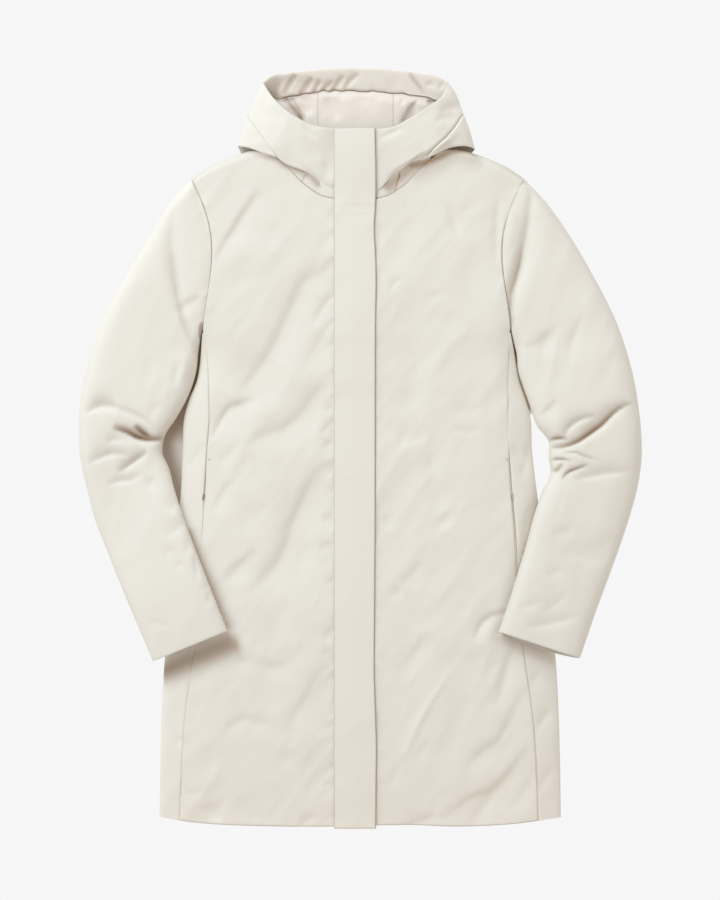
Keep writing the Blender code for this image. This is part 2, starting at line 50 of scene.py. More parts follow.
# %% [markdown]
# ## Sizes
# Every size is in millimetres, in the frame of the solid model: X runs across the coat with the wearer's
# right at -X, Y runs up to the hood, and Z = 0 is the floor. A pattern cutter keeps a table of the coat's
# widths at marked heights, and so does this cell. Side -1 is the wearer's right, and side 1 the left.

# %% Sizes of the body
WALL = 4.0  # shell, wadding and lining together
LINING_WALL = 1.4
SEAM_GAP = 0.2
FOLD = 8.0  # radius of the folds at the sides
MIDDLE_X = -4.0
SIDE_BACK = 34.0  # how far a side panel reaches round to the back
ROLL = 9.0  # how far in from an outline the cloth rounds over
RIM_Z = 12.2  # height of the cloth along such an outline
NECK_HALF = 118.0
ZIP_X = -7.0
ZIP_HALF = 4.5
FLAP_RIGHT = -34.0  # sewn edge of the storm flap
FLAP_LEFT = 20.0  # its free edge
FLAP_JOIN_Y = 303.0
FLAP_TOP_Y = 415.0
FLAP_FOOT_Y = -493.4
POCKET_TOP = -12.0
POCKET_FOOT = -196.0
LOOP_Y = -62.0
STEP = 3.0  # between the points of a panel

Body = namedtuple("Body", "y right_fold right_seam left_seam left_fold crown")
BODY = [
    Body(-479, -261, -235, 231, 261, 21),
    Body(-410, -260, -232, 229, 260, 24),
    Body(-340, -258, -227, 223, 258, 26),
    Body(-270, -254, -217, 213, 254, 27),
    Body(-206, -247, -211, 206, 247, 28),
    Body(-110, -238, -206, 201, 237, 28),
    Body(-50, -233, -202, 196, 229, 28),
    Body(-2, -231, -199, 193, 223.5, 28),
    Body(45, -228, -196, 192, 220.5, 28),
    Body(65, -222, -196.5, 192, 214.5, 28),
    Body(85, -213.5, -197, 192, 207.5, 29),
    Body(120, -207.5, -199, 193, 201, 29),
    Body(150, -205, -203, 193, 195, 30),
]
HEM = [
    (-261, -479), (-215, -486), (-143, -490), (-33, -491),
    (61, -489), (132, -491), (196, -488), (261, -479.5),
]
SHOULDER = [(NECK_HALF, 390), (140, 386.5), (161, 379.5), (195, 364.5), (217, 350)]
NECKLINE = [(0, 323), (27, 324), (45, 328.5), (60, 338), (70, 346), (84, 361), (93, 369), (113, 388)]

# %% Sizes of the sleeves
Sleeve = namedtuple("Sleeve", "in_x in_y out_x out_y in_lift out_lift crown")
SLEEVES = {
    -1: [
        Sleeve(-204, 152, -219, 350, 0, 0, 26),
        Sleeve(-207.5, 140, -245, 322, 0, 0, 29),
        Sleeve(-210.5, 124, -268, 285, 0, 0, 30),
        Sleeve(-212.5, 104, -300, 232, 0, 0, 30),
        Sleeve(-217.5, 84, -331, 178, 0, 0, 31),
        Sleeve(-227, 61, -353, 115, 0, 0, 33),
        Sleeve(-240, 38, -364, 60, 0, 0, 34),
        Sleeve(-254, 16, -366, 14, 0, 0, 34),
        Sleeve(-257, -5, -363, -18, 2, 0, 32),
        Sleeve(-249, -24, -356, -50, 5, 0, 29),
        Sleeve(-241, -53, -345, -92, 12, 0, 27),
        Sleeve(-231, -84, -331, -128, 18, 3, 26),
        Sleeve(-216, -124, -312, -175, 20, 8, 26),
        Sleeve(-200, -165, -292, -222, 22.5, 12.5, 25),
        Sleeve(-185, -203, -279, -252, 24, 15, 23),
        Sleeve(-172, -236, -269, -276, 25, 17, 20),
    ],
    1: [
        Sleeve(195, 154, 213, 351, 0, 0, 26),
        Sleeve(198, 141, 240, 322, 0, 0, 29),
        Sleeve(203, 123, 267, 285, 0, 0, 30),
        Sleeve(205.5, 100, 300, 230, 0, 0, 30),
        Sleeve(212.5, 78, 332, 167, 0, 0, 31),
        Sleeve(220.8, 55, 352, 107, 0, 0, 33),
        Sleeve(230, 29, 362, 54, 0, 0, 34),
        Sleeve(245, 8, 366, 12, 0, 0, 34),
        Sleeve(245, -12, 366, -14, 2, 0, 33),
        Sleeve(247, -32, 362, -44, 5, 0, 30),
        Sleeve(236, -56, 353, -80, 12, 0, 28),
        Sleeve(224, -90, 340, -120, 18.5, 3, 27),
        Sleeve(214, -128, 325, -161, 20, 8, 27),
        Sleeve(203, -164, 309, -203, 22.5, 12.5, 26),
        Sleeve(191, -203, 296, -240, 24, 15, 24),
        Sleeve(179, -237, 285, -272, 25, 17, 21),
    ],
}
ARMHOLE_BOW = {-1: 20.0, 1: 21.0}  # how far the armhole curves in
ARMHOLE_SKEW = 1.3  # puts the deepest part of that curve above its middle

# %% Sizes of the hood
OPENING = {
    -1: [(-126, 476), (-113, 455.6), (-103, 445), (-78, 427), (-55, 418), (-35, 416), (-12, 415.5)],
    1: [(114, 476), (103.7, 455.6), (84, 442), (63.4, 428), (44, 418), (20, 414.5), (-2, 414.5)],
}
OUTLINE = {
    -1: [(-126, 476), (-139, 449), (-146.5, 431)],
    1: [(114, 476), (124, 462), (133.6, 436)],
}
CORNER = {
    -1: [(-146.5, 431), (-152, 415), (-159, 393)],
    1: [(133.6, 436), (142, 415), (149, 389)],
}
HOOD_SEAM = {
    -1: [(-146.5, 431), (-135, 415), (-122, 397), (-107, 376)],
    1: [(133.6, 436), (126, 422), (113, 406), (98.5, 392), (82, 374)],
}
CORNER_FOOT = {
    -1: [(-159, 393), (-145, 390), (-126, 382.5), (-107, 376)],
    1: [(149, 389), (141, 392), (128, 392), (115, 389), (103, 383), (82, 374)],
}
HOOD_FOOT = {
    -1: [(-107, 376), (-98, 369), (-74, 359.5), (-62, 353), (-54, 344), (-48, 335), (-38, 329), (-12, 325.5)],
    1: [(82, 374), (66, 370), (54, 361), (42, 353), (33, 344), (26, 336), (18, 331), (-2, 327)],
}
BRIM = [
    (-126, 476), (-118, 482.5), (-91, 489), (-63, 492.6), (-20, 494.8),
    (32, 493.6), (71, 489), (105, 482), (114, 476),
]
FACING_SEAM = [
    (-115, 452), (-91, 458), (-66, 463), (-20, 465.5), (32, 463.5), (67, 461), (91, 456), (105, 452),
]
LINING_FOOT = [(-107, 438), (-84, 414), (-54, 401), (-20, 396), (10, 396), (42, 401), (76, 415), (97, 437)]
LINING_CUTS = (-55.0, 43.0)  # X of the seams between its three panels
HOOD_EDGE = 16.0  # height of the hood at its outline, before the roll
HOOD_RISE = 62.0  # how far in from the outline it is at its highest
HOOD_NECK, HOOD_CROWN = 30.5, 36.5  # the highest it gets, at the neck and at the top
HOOD_RISE_Y = (316.0, 400.0)  # where those two are

# %% [markdown]
# ## Curves
# A pattern piece has soft outlines. A Hermite curve through a few marked points gives them, and it is
# worked out for a whole array of places at once, which keeps a fine grid quick in Python.

# %% Curves through marked points
def curve(keys, values):
    """A soft curve through values at rising keys."""
    keys, values = np.array(keys, float), np.array(values, float)
    slopes = np.gradient(values, keys, axis=0)

    def at(key):
        key = np.clip(np.asarray(key, float), keys[0], keys[-1])
        i = np.clip(np.searchsorted(keys, key) - 1, 0, len(keys) - 2)
        span = keys[i + 1] - keys[i]
        q = (key - keys[i]) / span
        if values.ndim > 1:
            q, span = q[..., None], span[..., None]
        start = (2 * q**3 - 3 * q**2 + 1) * values[i] + (q**3 - 2 * q**2 + q) * span * slopes[i]
        return start + (3 * q**2 - 2 * q**3) * values[i + 1] + (q**3 - q**2) * span * slopes[i + 1]

    return at


def lengths(path):
    """How far along a path each of its points is."""
    return np.r_[0, np.cumsum(np.linalg.norm(np.diff(path, axis=0), axis=1))]


def soft(points, count=60):
    """A soft line through a few points."""
    points = np.array(points, float)
    along = lengths(points)
    return curve(along, points)(np.linspace(0, along[-1], count))


def walk(path, parts):
    """Points at the given parts of a line's length."""
    along = lengths(path)
    at = np.asarray(parts) * along[-1]
    return places(*(np.interp(at, along, values) for values in np.asarray(path).T))


def places(*values):
    """Arrays of X and Y, or of X, Y and Z, joined into places."""
    return np.stack(np.broadcast_arrays(*values), -1)


def axes(grid):
    """A grid of places, taken apart again."""
    return np.moveaxis(grid, -1, 0)


def ramp(value, low, high):
    """0 at low, 1 at high, soft at both ends."""
    q = np.clip((value - low) / (high - low), 0, 1)
    return q * q * (3 - 2 * q)


def rounded(distance, reach=ROLL):
    """How full a piece is at a distance in from its outline: 0 there, 1 past the roll."""
    q = np.clip(distance / reach, 0, 1)
    return np.sqrt(1 - (1 - q) ** 2)


def across_path(x, y, path):
    """Distance to the left of a path (below zero on its right), and the nearest part of its length."""
    best = np.full(np.shape(x), np.inf)
    signed, part = np.zeros(np.shape(x)), np.zeros(np.shape(x))
    along = lengths(path)
    for (ax, ay), (bx, by), start, end in zip(path[:-1], path[1:], along[:-1], along[1:]):
        dx, dy = (bx - ax) / (end - start), (by - ay) / (end - start)
        t = np.clip((x - ax) * dx + (y - ay) * dy, 0, end - start)
        off_x, off_y = x - ax - dx * t, y - ay - dy * t
        distance = np.hypot(off_x, off_y)
        nearer = distance < best
        best = np.where(nearer, distance, best)
        signed = np.where(nearer, np.sign(dx * off_y - dy * off_x) * distance, signed)
        part = np.where(nearer, (start + t) / along[-1], part)
    return signed, part


print("a soft line has", len(soft(HEM)), "points")

# %% [markdown]
# ## The lie of the body
# Laid flat, a padded body is a low pillow: highest along the middle, and turned under at its side folds.
# Half an ellipse, flattened on top, does that at every height of the coat. Above the underarms the pillow
# runs on into the sleeves, so there it is wider than the coat's own body, and it rounds over at the
# shoulders.

# %% Height of the body
def column(name):
    return curve([row.y for row in BODY], [getattr(row, name) for row in BODY])


FOLD_AT = {-1: column("right_fold"), 1: column("left_fold")}
SEAM_AT = {-1: column("right_seam"), 1: column("left_seam")}
CROWN_AT = column("crown")
HEM_AT = curve(*zip(*HEM))
SHOULDER_AT = curve(*zip(*SHOULDER))
NECKLINE_AT = curve(*zip(*NECKLINE))
UNDERARM_Y = BODY[-1].y
WORDS = {-1: "right", 1: "left"}
CHEST_HALF = 268.0  # the pillow's half width where the sleeves carry it on
CHEST_FROM, CHEST_TO = 112.0, 220.0
FULLNESS = 6.0  # how flat the top of the pillow is
SHOULDER_FROM = NECK_HALF - 30  # nearer the middle than this, the neck keeps the cloth up


def armhole(side, part):
    """Places on the armhole seam: part 0 at the underarm, 1 at the shoulder."""
    first = SLEEVES[side][0]
    part = np.clip(part, 0, 1)
    bow = ARMHOLE_BOW[side] * np.sin(np.pi * part**ARMHOLE_SKEW)
    x = first.in_x + (first.out_x - first.in_x) * part - side * bow
    return places(x, first.in_y + (first.out_y - first.in_y) * part)


def pillow(across, crown, foot=FOLD, fullness=FULLNESS):
    """Height of a soft, flattened form, across from 0 at its middle to 1 at its fold."""
    return foot + (crown - foot) * np.sqrt(np.clip(1 - np.abs(across) ** fullness, 0, 1))


def body_height(x, y):
    x, y = np.broadcast_arrays(np.asarray(x, float), np.asarray(y, float))
    height = np.zeros(x.shape)
    for side in (-1, 1):
        half = np.abs(FOLD_AT[side](y) - MIDDLE_X)
        half = half + (CHEST_HALF - half) * ramp(y, CHEST_FROM, CHEST_TO)
        own = pillow((x - MIDDLE_X) / half, CROWN_AT(y))
        height = np.where((x < MIDDLE_X) == (side < 0), own, height)
    inside = rounded(SHOULDER_AT(np.abs(x - MIDDLE_X)) - y)
    shoulder = RIM_Z + (height - RIM_Z) * inside
    return np.where(np.abs(x - MIDDLE_X) > SHOULDER_FROM, shoulder, height)


print("the body is", round(float(body_height(0.0, 0.0)), 1), "mm high at its middle")

# %% [markdown]
# ## The lie of the hood
# The hood stands a little higher than the body, because its front lies on its back with the neck between
# them. It rises from its outline as a quarter of a wave, and rounds over along the outline itself.

# %% Height of the hood
SIDE_LINE = {side: soft(OUTLINE[side] + CORNER[side][1:], 200) for side in (-1, 1)}


def outline_half(x, y):
    """How far out the hood's outline is, on the side that each place is on."""
    right, left = (np.interp(y, path[::-1, 1], np.abs(path[::-1, 0])) for path in SIDE_LINE.values())
    return np.where(x < MIDDLE_X, right, left)


def hood_height(x, y):
    x, y = np.broadcast_arrays(np.asarray(x, float), np.asarray(y, float))
    inward = outline_half(x, y) - np.abs(x)
    crown = HOOD_NECK + (HOOD_CROWN - HOOD_NECK) * ramp(y, *HOOD_RISE_Y)
    height = HOOD_EDGE + (crown - HOOD_EDGE) * np.sin(np.pi / 2 * np.clip(inward / HOOD_RISE, 0, 1))
    return RIM_Z + (height - RIM_Z) * rounded(inward)


def centre_height(x, y):
    """What the storm flap lies on: the fronts, then the hood."""
    low, _ = HOOD_RISE_Y
    below = body_height(x, np.minimum(y, low))
    return np.where(np.asarray(y) > low, np.maximum(below, hood_height(x, y)), below)


print("the hood is", round(float(hood_height(0.0, 380.0)), 1), "mm high at its middle")

# %% [markdown]
# ## Folds
# Cloth that lies still keeps long, soft troughs where it was last bent, and each trough pushes up a low
# ridge on both sides. A fold here is a soft line with a depth, a half width, a lean, which makes one bank
# higher than the other, and how crisp it is at its bottom. Folds are placed one by one, and they run out
# to nothing at both ends. A cloth simulation would put them where it likes.

# %% Pressing folds into a panel
Fold = namedtuple("Fold", "depth width lean crisp path")
FOLD_POINTS = 26
FOLD_REACH = 3.4  # in half widths
DEEPER = 1.5  # the light is soft, so folds are a little deeper than they look
CREASE_REACH = 1.5
DARK_CRISP = (0.4, 0.75)  # a fold gets painted shade at its bottom, from none to full, if it is this crisp
DARK_DEPTH = (1.2, 4.8)  # and this deep


def beside(x, y, path, reach):
    """Which places lie in the box round a path, widened by a reach."""
    low, high = np.min(path, 0) - reach, np.max(path, 0) + reach
    return (x > low[0]) & (x < high[0]) & (y > low[1]) & (y < high[1])


def bell(distance, reach):
    """1 on a line, about a third at the reach, and soon nothing."""
    return np.exp(-((distance / reach) ** 2))


def pressed(x, y, folds):
    """How far the folds push the cloth up (or down, below zero) at each place."""
    rise = np.zeros(np.shape(x))
    for fold in folds:
        path = soft(fold.path, FOLD_POINTS)
        near = beside(x, y, path, FOLD_REACH * fold.width * (1 + 3 * abs(fold.lean)))
        if not near.any():
            continue
        signed, part = across_path(x[near], y[near], path)
        fullness = np.sin(np.pi * part)
        gentle = np.where(signed * fold.lean < 0, 1 + 4 * abs(fold.lean), 1)
        q = signed / (fold.width * (0.7 + 0.4 * fullness) * gentle)
        blunt = 1.05 - fold.crisp
        far = np.hypot(q, blunt) - blunt
        trough = -np.exp(-1.7 * far) * (1 - 0.35 * far)
        step = 0.5 * q / np.hypot(q, blunt) * np.exp(-0.9 * q * q)
        rise[near] += DEEPER * fold.depth * fullness**0.8 * (trough + fold.lean * step)
    return rise


def painted_crease_shade(x, y, folds):
    """How much shade is painted at each place for lying at the bottom of a sharp crease, from 0 to 1."""
    dark = np.zeros(np.shape(x))
    for fold in folds:
        strength = np.interp(fold.crisp, DARK_CRISP, (0, 1)) * np.interp(fold.depth, DARK_DEPTH, (0, 1))
        path = soft(fold.path, FOLD_POINTS)
        near = beside(x, y, path, CREASE_REACH * fold.width)
        if strength > 0 and near.any():
            signed, part = across_path(x[near], y[near], path)
            steep = np.where(signed * fold.lean > 0, 0.35, 1.0) if fold.lean else 0.7
            here = bell(signed, steep * fold.width) * np.sin(np.pi * part) ** 0.5
            dark[near] = np.maximum(dark[near], here * strength)
    return dark


def unevenness(x, y, size, seed):
    """Soft hollows and swellings of about one size, from -1 to 1."""
    table = np.random.RandomState(seed).uniform(-1, 1, (64, 64))
    gx, gy = x / size + 500.0, y / size + 500.0
    i, j = np.floor(gx).astype(int), np.floor(gy).astype(int)
    u, v = gx - i, gy - j
    u, v = u**3 * (u * (6 * u - 15) + 10), v**3 * (v * (6 * v - 15) + 10)
    corner = [table[(i + a) % 64, (j + b) % 64] for a in (0, 1) for b in (0, 1)]
    return (1 - u) * ((1 - v) * corner[0] + v * corner[1]) + u * ((1 - v) * corner[2] + v * corner[3])


def puckers(x, y, path, height, reach, pitch, seed, slant=0.8):
    """Small gathers that a seam pulls into the cloth beside it."""
    path = np.asarray(path, float)
    near = beside(x, y, path, 3 * reach)
    signed, part = across_path(x[near], y[near], path)
    along = part * lengths(path)[-1]
    wave = unevenness(along + slant * np.abs(signed), np.zeros(along.shape) + seed, pitch, seed)
    rise = np.zeros(np.shape(x))
    rise[near] = height * wave * bell(signed, reach)
    return rise


def lie(x, y, seed, slant=55):
    """The unevenness that wadding leaves: soft swellings, and flat facets that meet in low ridges."""
    along, across = np.cos(np.radians(slant)), np.sin(np.radians(slant))
    u, v = x * along + y * across, (y * along - x * across) * 2.2
    rise = 0.9 * unevenness(u, v, 90, seed) + 0.3 * unevenness(u, v, 38, seed + 1)
    facets = ((1.4, 80), (0.6, 40))  # the height of the ridges, and the size of the facets
    ridges = sum(high * np.hypot(unevenness(u, v, size, seed + size), 0.07) for high, size in facets)
    return rise - ridges + 0.12 * unevenness(u, v, 16, seed + 2) + 0.04 * unevenness(x, y, 6, seed + 3)

# %% [markdown]
# ## Panels
# A pattern piece has four edges, so its grid can be filled in from them: this is a Coons patch. Points lie
# close together beside the seams, where the cloth turns down into the stitching, and further apart
# elsewhere. A panel is then two such grids, an upper and a lower skin, closed all round into a thin wall.

# %% Grids between four edges
SEAM_PAINTED_SHADE = 0.5  # how much shade is painted into a seam
SEAM_SPREAD = 0.8  # how far that painted shade spreads from the seam
SEAM_STATIONS = np.array([0.0, 0.45, 1.0, 1.8, 3.0, 4.8])
SHORT_STEP = 1.5  # between points on an edge too short for the stations


def stations(length, step):
    """Places along an edge, from 0 to 1: close together at both ends, then even."""
    end = SEAM_STATIONS[-1]
    if length < 3 * end:
        return np.linspace(0, 1, max(4, round(length / SHORT_STEP)))
    middle = np.linspace(end, length - end, max(3, round((length - 2 * end) / step)))[1:-1]
    return np.r_[SEAM_STATIONS, middle, length - SEAM_STATIONS[::-1]] / length


def patch(foot, head, left, right, step=STEP):
    """A grid of places. Foot and head run the same way, left and right run from foot to head."""
    u = stations((lengths(foot)[-1] + lengths(head)[-1]) / 2, step)
    v = stations((lengths(left)[-1] + lengths(right)[-1]) / 2, step)
    foot, head, left, right = walk(foot, u), walk(head, u), walk(left, v), walk(right, v)
    u, v = u[None, :, None], v[:, None, None]
    ends = (1 - v) * foot[None] + v * head[None]
    sides = (1 - u) * left[:, None] + u * right[:, None]
    corners = (1 - v) * ((1 - u) * foot[0] + u * foot[-1]) + v * ((1 - u) * head[0] + u * head[-1])
    grid = ends + sides - corners
    for view in (grid, grid[::-1], grid.swapaxes(0, 1), grid.swapaxes(0, 1)[::-1]):
        inward = view[1] - view[0]
        view[0] += inward / np.linalg.norm(inward, axis=1)[:, None] * SEAM_GAP / 2
    return grid


def along_grid(grid):
    """How far each place of a grid is up its column, and along its row."""
    up = np.linalg.norm(np.diff(grid, axis=0), axis=2).cumsum(0)
    across = np.linalg.norm(np.diff(grid, axis=1), axis=2).cumsum(1)
    return np.vstack([0 * up[:1], up]), np.hstack([0 * across[:, :1], across])


def edge_distances(grid):
    """Distance of each place from the foot, the head, the left and the right edge."""
    from_foot, from_left = along_grid(grid)
    return from_foot, from_foot[-1] - from_foot, from_left, from_left[:, -1:] - from_left


def tucked(distance, reach=1.0):
    """How far the cloth is turned down at a distance from a seam: 1 in the seam itself."""
    return np.exp(-((distance / reach) ** 1.4))


def turned_down(grid, depths, reach=1.0):
    """How far the cloth turns down at its four edges, and how much shade is painted beside each seam, from 0
    to 1.
    """
    drop, near = np.zeros(grid.shape[:2]), np.zeros(grid.shape[:2])
    for distance, depth in zip(edge_distances(grid), depths):
        drop = np.maximum(drop, depth * tucked(distance, reach))
        near = np.maximum(near, SEAM_PAINTED_SHADE * np.clip(depth, 0, 1) * bell(distance, SEAM_SPREAD))
    return drop, near


print("a 100 mm edge has", len(stations(100, STEP)), "points")

# %% [markdown]
# ## Materials
# The shell is a matt, close-woven off-white cloth. Its threads are far finer than a fold, so they are bump,
# driven by a map that is laid out along the cloth in metres. Slow changes of colour come from noise on
# object coordinates. A value kept at each point paints shade into the colour with a warm dark tone: in
# the seams, at the bottom of sharp creases, and where a forearm, a cuff or the hood shades the cloth.

# %% Nodes, and a material to start from
def add_node(tree, kind, inputs=None, **settings):
    """A node of one kind, with its settings, and with constants on some of its inputs."""
    node = tree.nodes.new(kind)
    for name, value in settings.items():
        setattr(node, name, value)
    for socket, value in (inputs or {}).items():
        node.inputs[socket].default_value = value
    return node


def link(tree, start, out, end, into):
    tree.links.new(start.outputs[out], end.inputs[into])


def new_material(name, constants):
    """A material, its node tree and its shader, with constants set on the shader's own sockets."""
    material = bpy.data.materials.new(name)
    material.use_nodes = True
    shader = material.node_tree.nodes["Principled BSDF"]
    for socket, value in constants.items():
        shader.inputs[socket].default_value = value
    return material, material.node_tree, shader

# %% Cloth material
WARMER_FROM = (-0.34, -0.50)  # the colour turns a little warmer and darker between these places, towards the hem
WARMER_TONE = (1.0, 0.972, 0.955)
MOTTLE_SCALE, FINE_SCALE = 9.0, 900.0  # of the noise in the colour, and of the noise in the roughness
ROUGHNESS_SPREAD = 0.06
THREAD_HEIGHT = 0.0001  # metres
MIX_FIRST, MIX_SECOND, MIX_RESULT = 6, 7, 2  # the colour sockets of a Mix node


def cloth_material(name, colour, shade, painted_shade_tone, roughness, sheen, thread, bump, on_map=True):
    """A woven cloth. The thread is its pitch in metres. Small pieces use their own coordinates."""
    material, tree, shader = new_material(
        name, {"Sheen Weight": sheen, "Sheen Roughness": 0.5, "Specular IOR Level": 0.25}
    )
    place = add_node(tree, "ShaderNodeTexCoord")
    layout = add_node(tree, "ShaderNodeUVMap", uv_map="cloth")

    def noise(scale):
        node = add_node(tree, "ShaderNodeTexNoise", {"Scale": scale, "Detail": 2.0})
        link(tree, place, "Object", node, "Vector")
        return node

    def mix(factor, out, first, second):
        node = add_node(tree, "ShaderNodeMix", data_type="RGBA")
        link(tree, factor, out, node, 0)
        for socket, value in ((MIX_FIRST, first), (MIX_SECOND, second)):
            if isinstance(value, tuple):
                node.inputs[socket].default_value = (*value, 1.0)
            else:
                link(tree, value, MIX_RESULT, node, socket)
        return node

    mottled = mix(noise(MOTTLE_SCALE), "Fac", colour, shade)
    height = add_node(tree, "ShaderNodeSeparateXYZ")
    link(tree, place, "Object", height, "Vector")
    toward_hem = add_node(tree, "ShaderNodeMapRange", {"From Min": WARMER_FROM[0], "From Max": WARMER_FROM[1]})
    link(tree, height, "Y", toward_hem, "Value")
    mottled = mix(toward_hem, "Result", mottled, tuple(np.multiply(colour, WARMER_TONE)))
    # painted shade: where the seam value is high, the colour darkens towards a warm shade tone
    painted_shade = add_node(tree, "ShaderNodeAttribute", attribute_name="seam")
    toned = mix(painted_shade, "Fac", mottled, painted_shade_tone)
    link(tree, toned, MIX_RESULT, shader, "Base Color")
    low, high = roughness - ROUGHNESS_SPREAD, roughness + ROUGHNESS_SPREAD
    rough = add_node(tree, "ShaderNodeMapRange", {"To Min": low, "To Max": high})
    link(tree, noise(FINE_SCALE), "Fac", rough, "Value")
    link(tree, rough, "Result", shader, "Roughness")
    weave = add_node(tree, "ShaderNodeMath", operation="MAXIMUM")
    scale = 2 * math.pi / 20 / thread  # a Wave node has 20 bands in a length of 2 pi
    for i, direction in enumerate("XY"):
        wave = add_node(
            tree, "ShaderNodeTexWave", {"Scale": scale, "Distortion": 1.2, "Detail Scale": 0.2},
            bands_direction=direction,
        )
        link(tree, *((layout, "UV") if on_map else (place, "Object")), wave, "Vector")
        link(tree, wave, "Fac", weave, i)
    bumps = add_node(tree, "ShaderNodeBump", {"Strength": bump, "Distance": THREAD_HEIGHT})
    link(tree, weave, 0, bumps, "Height")
    link(tree, bumps, "Normal", shader, "Normal")
    return material


# the third colour of each cloth is the warm dark tone of its painted shade
SHELL = cloth_material(
    "shell_cloth", (0.825, 0.80, 0.715), (0.81, 0.782, 0.70), (0.24, 0.135, 0.06), 0.8, 0.1, 0.0006, 0.25
)
# a warmer copy of the shell cloth for the facing, with painted warm light bounced inside the hood
SHELL_WITH_PAINTED_BOUNCE = cloth_material(
    "shell_cloth_painted_bounce", (0.845, 0.79, 0.70), (0.83, 0.775, 0.685), (0.26, 0.13, 0.06), 0.8, 0.1, 0.0006, 0.25
)
LINING = cloth_material(
    "lining_cloth", (0.849, 0.781, 0.704), (0.834, 0.763, 0.689), (0.28, 0.14, 0.07), 0.6, 0.2, 0.0004, 0.2
)
TAPE = cloth_material(
    "zip_tape", (0.78, 0.73, 0.64), (0.75, 0.70, 0.61), (0.6, 0.53, 0.43), 0.6, 0.1, 0.0008, 0.4
)
THREAD = cloth_material(
    "thread", (0.74, 0.70, 0.61), (0.70, 0.66, 0.57), (0.3, 0.2, 0.1), 0.5, 0.2, 0.0003, 0.3, on_map=False
)
TEETH = cloth_material(
    "zip_teeth", (0.74, 0.71, 0.64), (0.72, 0.69, 0.62), (0.3, 0.2, 0.1), 0.35, 0.0, 0.0005, 0.1, on_map=False
)
MATERIALS = {"shell": SHELL, "lining": LINING, "zip_tape": TAPE, "trim": SHELL}
print("materials:", [m.name for m in (SHELL, LINING, SHELL_WITH_PAINTED_BOUNCE, TAPE, THREAD, TEETH)])

# %% [markdown]
# ## From grids to pieces
# This helper joins the upper and the lower skin of a panel, writes the map and the painted shade value onto
# it, hides the part of the solid model that it stands for, gives it its material and prints the size that it
# was cut to. The cut is measured on the skin itself, since cloth keeps its length when it is laid down.

# %% Making a piece
NARROW = 0.01  # metres: a band at least this wide has its area kept within its width times its length
SHARP_FROM = math.radians(50)


def with_height(grid, height):
    return np.concatenate([grid, height[..., None]], axis=2)


def down(skin, wall=WALL):
    return skin - [0, 0, wall]


def flat_size(skin, closed):
    """Width, length and area of a skin pressed flat, in metres."""
    ring = np.concatenate([skin, skin[:, :1]], axis=1) if closed else skin
    up, across = along_grid(ring)
    width, length = across[:, -1].max(), up[-1].max()
    a, b = ring[1:, 1:] - ring[:-1, :-1], ring[1:, :-1] - ring[:-1, 1:]
    area = np.linalg.norm(np.cross(a, b), axis=2).sum() / 2
    if area < width * length / 2:  # a corner-shaped cut: take the smallest rectangle that it fits in
        boxes = []
        for turn in np.radians(np.arange(0, 90, 2)):
            turned_x = skin[..., 0] * np.cos(turn) + skin[..., 1] * np.sin(turn)
            turned_y = skin[..., 1] * np.cos(turn) - skin[..., 0] * np.sin(turn)
            boxes.append((np.ptp(turned_x), np.ptp(turned_y)))
        width, length = min(boxes, key=lambda box: box[0] * box[1])
    return round(float(width) * MM, 3), round(float(length) * MM, 3), round(float(area) * MM * MM, 4)


def grid_faces(index):
    """A face for each cell of a grid of point numbers."""
    return np.stack([index[:-1, :-1], index[:-1, 1:], index[1:, 1:], index[1:, :-1]], -1).reshape(-1, 4)


def wall_faces(rows, cols, closed):
    """The faces of two skins, and of the rims that join them."""
    index = np.arange(rows * cols).reshape(rows, cols)
    ring = np.hstack([index, index[:, :1]]) if closed else index
    outer, under = grid_faces(ring), index.size
    faces = [outer, outer[:, ::-1] + under]
    rims = [ring[0], ring[-1, ::-1]]
    if not closed:
        rims += [index[::-1, 0], index[:, -1]]
    for rim in rims:
        faces.append(np.stack([rim[1:], rim[:-1], rim[:-1] + under, rim[1:] + under], -1))
    return np.concatenate(faces)


def piece(node, slot, skin, back, seam, closed=False, material=None):
    """One closed wall of cloth between two skins."""
    name = f"cloth_{node}"
    faces = wall_faces(*skin.shape[:2], closed)
    points = np.concatenate([skin.reshape(-1, 3), back.reshape(-1, 3)]) * MM
    a, b, c, d = (points[faces[:, k]] for k in range(4))
    volume = (a * (np.cross(b, c) + np.cross(c, d))).sum() / 6
    if volume < 0:
        faces = faces[:, ::-1]
    mesh = bpy.data.meshes.new(name)
    mesh.from_pydata(points.tolist(), [], faces.tolist())
    up, across = along_grid(skin)
    flat = np.tile(places(across, up).reshape(-1, 2) * MM, (2, 1))
    layout = mesh.uv_layers.new(name="cloth")
    layout.data.foreach_set("uv", flat[faces.reshape(-1)].astype(np.float32).ravel())
    # the seam value is painted shade: in seams, in creases and in the shadows of other parts
    value = mesh.attributes.new("seam", "FLOAT", "POINT")
    value.data.foreach_set("value", np.tile(seam.reshape(-1), 2).astype(np.float32))
    mesh.shade_smooth()
    mesh.set_sharp_from_angle(angle=SHARP_FROM)
    mesh.materials.append(material or MATERIALS[slot])
    cloth = bpy.data.objects.new(name, mesh)
    bpy.context.scene.collection.objects.link(cloth)
    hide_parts(node)
    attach(cloth, "root")
    width, length, area = flat_size(skin, closed)
    if width >= NARROW:
        area = min(area, width * length)
    size = f"{width * 1000:.0f} by {length * 1000:.0f} mm"
    print(f"{name}: cut {size}, {2 * len(faces)} triangles, {abs(volume) * 1e6:.0f} cm3")
    return cloth

# %% [markdown]
# ## Teeth and stitches
# Zip teeth and stitches repeat along a path, so Geometry Nodes set them. The path is cut into equal steps,
# and a small rounded block is placed at each step and turned along the path. The sizes are inputs of the
# tree, so one tree makes the coarse teeth of the front zip, the fine coil of a pocket zip and the threads
# of a bar tack.

# %% Blocks along a path
BLOCK_SIZES = ("Spacing", "Length", "Width", "Height")
BLOCK_SEGMENTS, BLOCK_RINGS = 8, 4


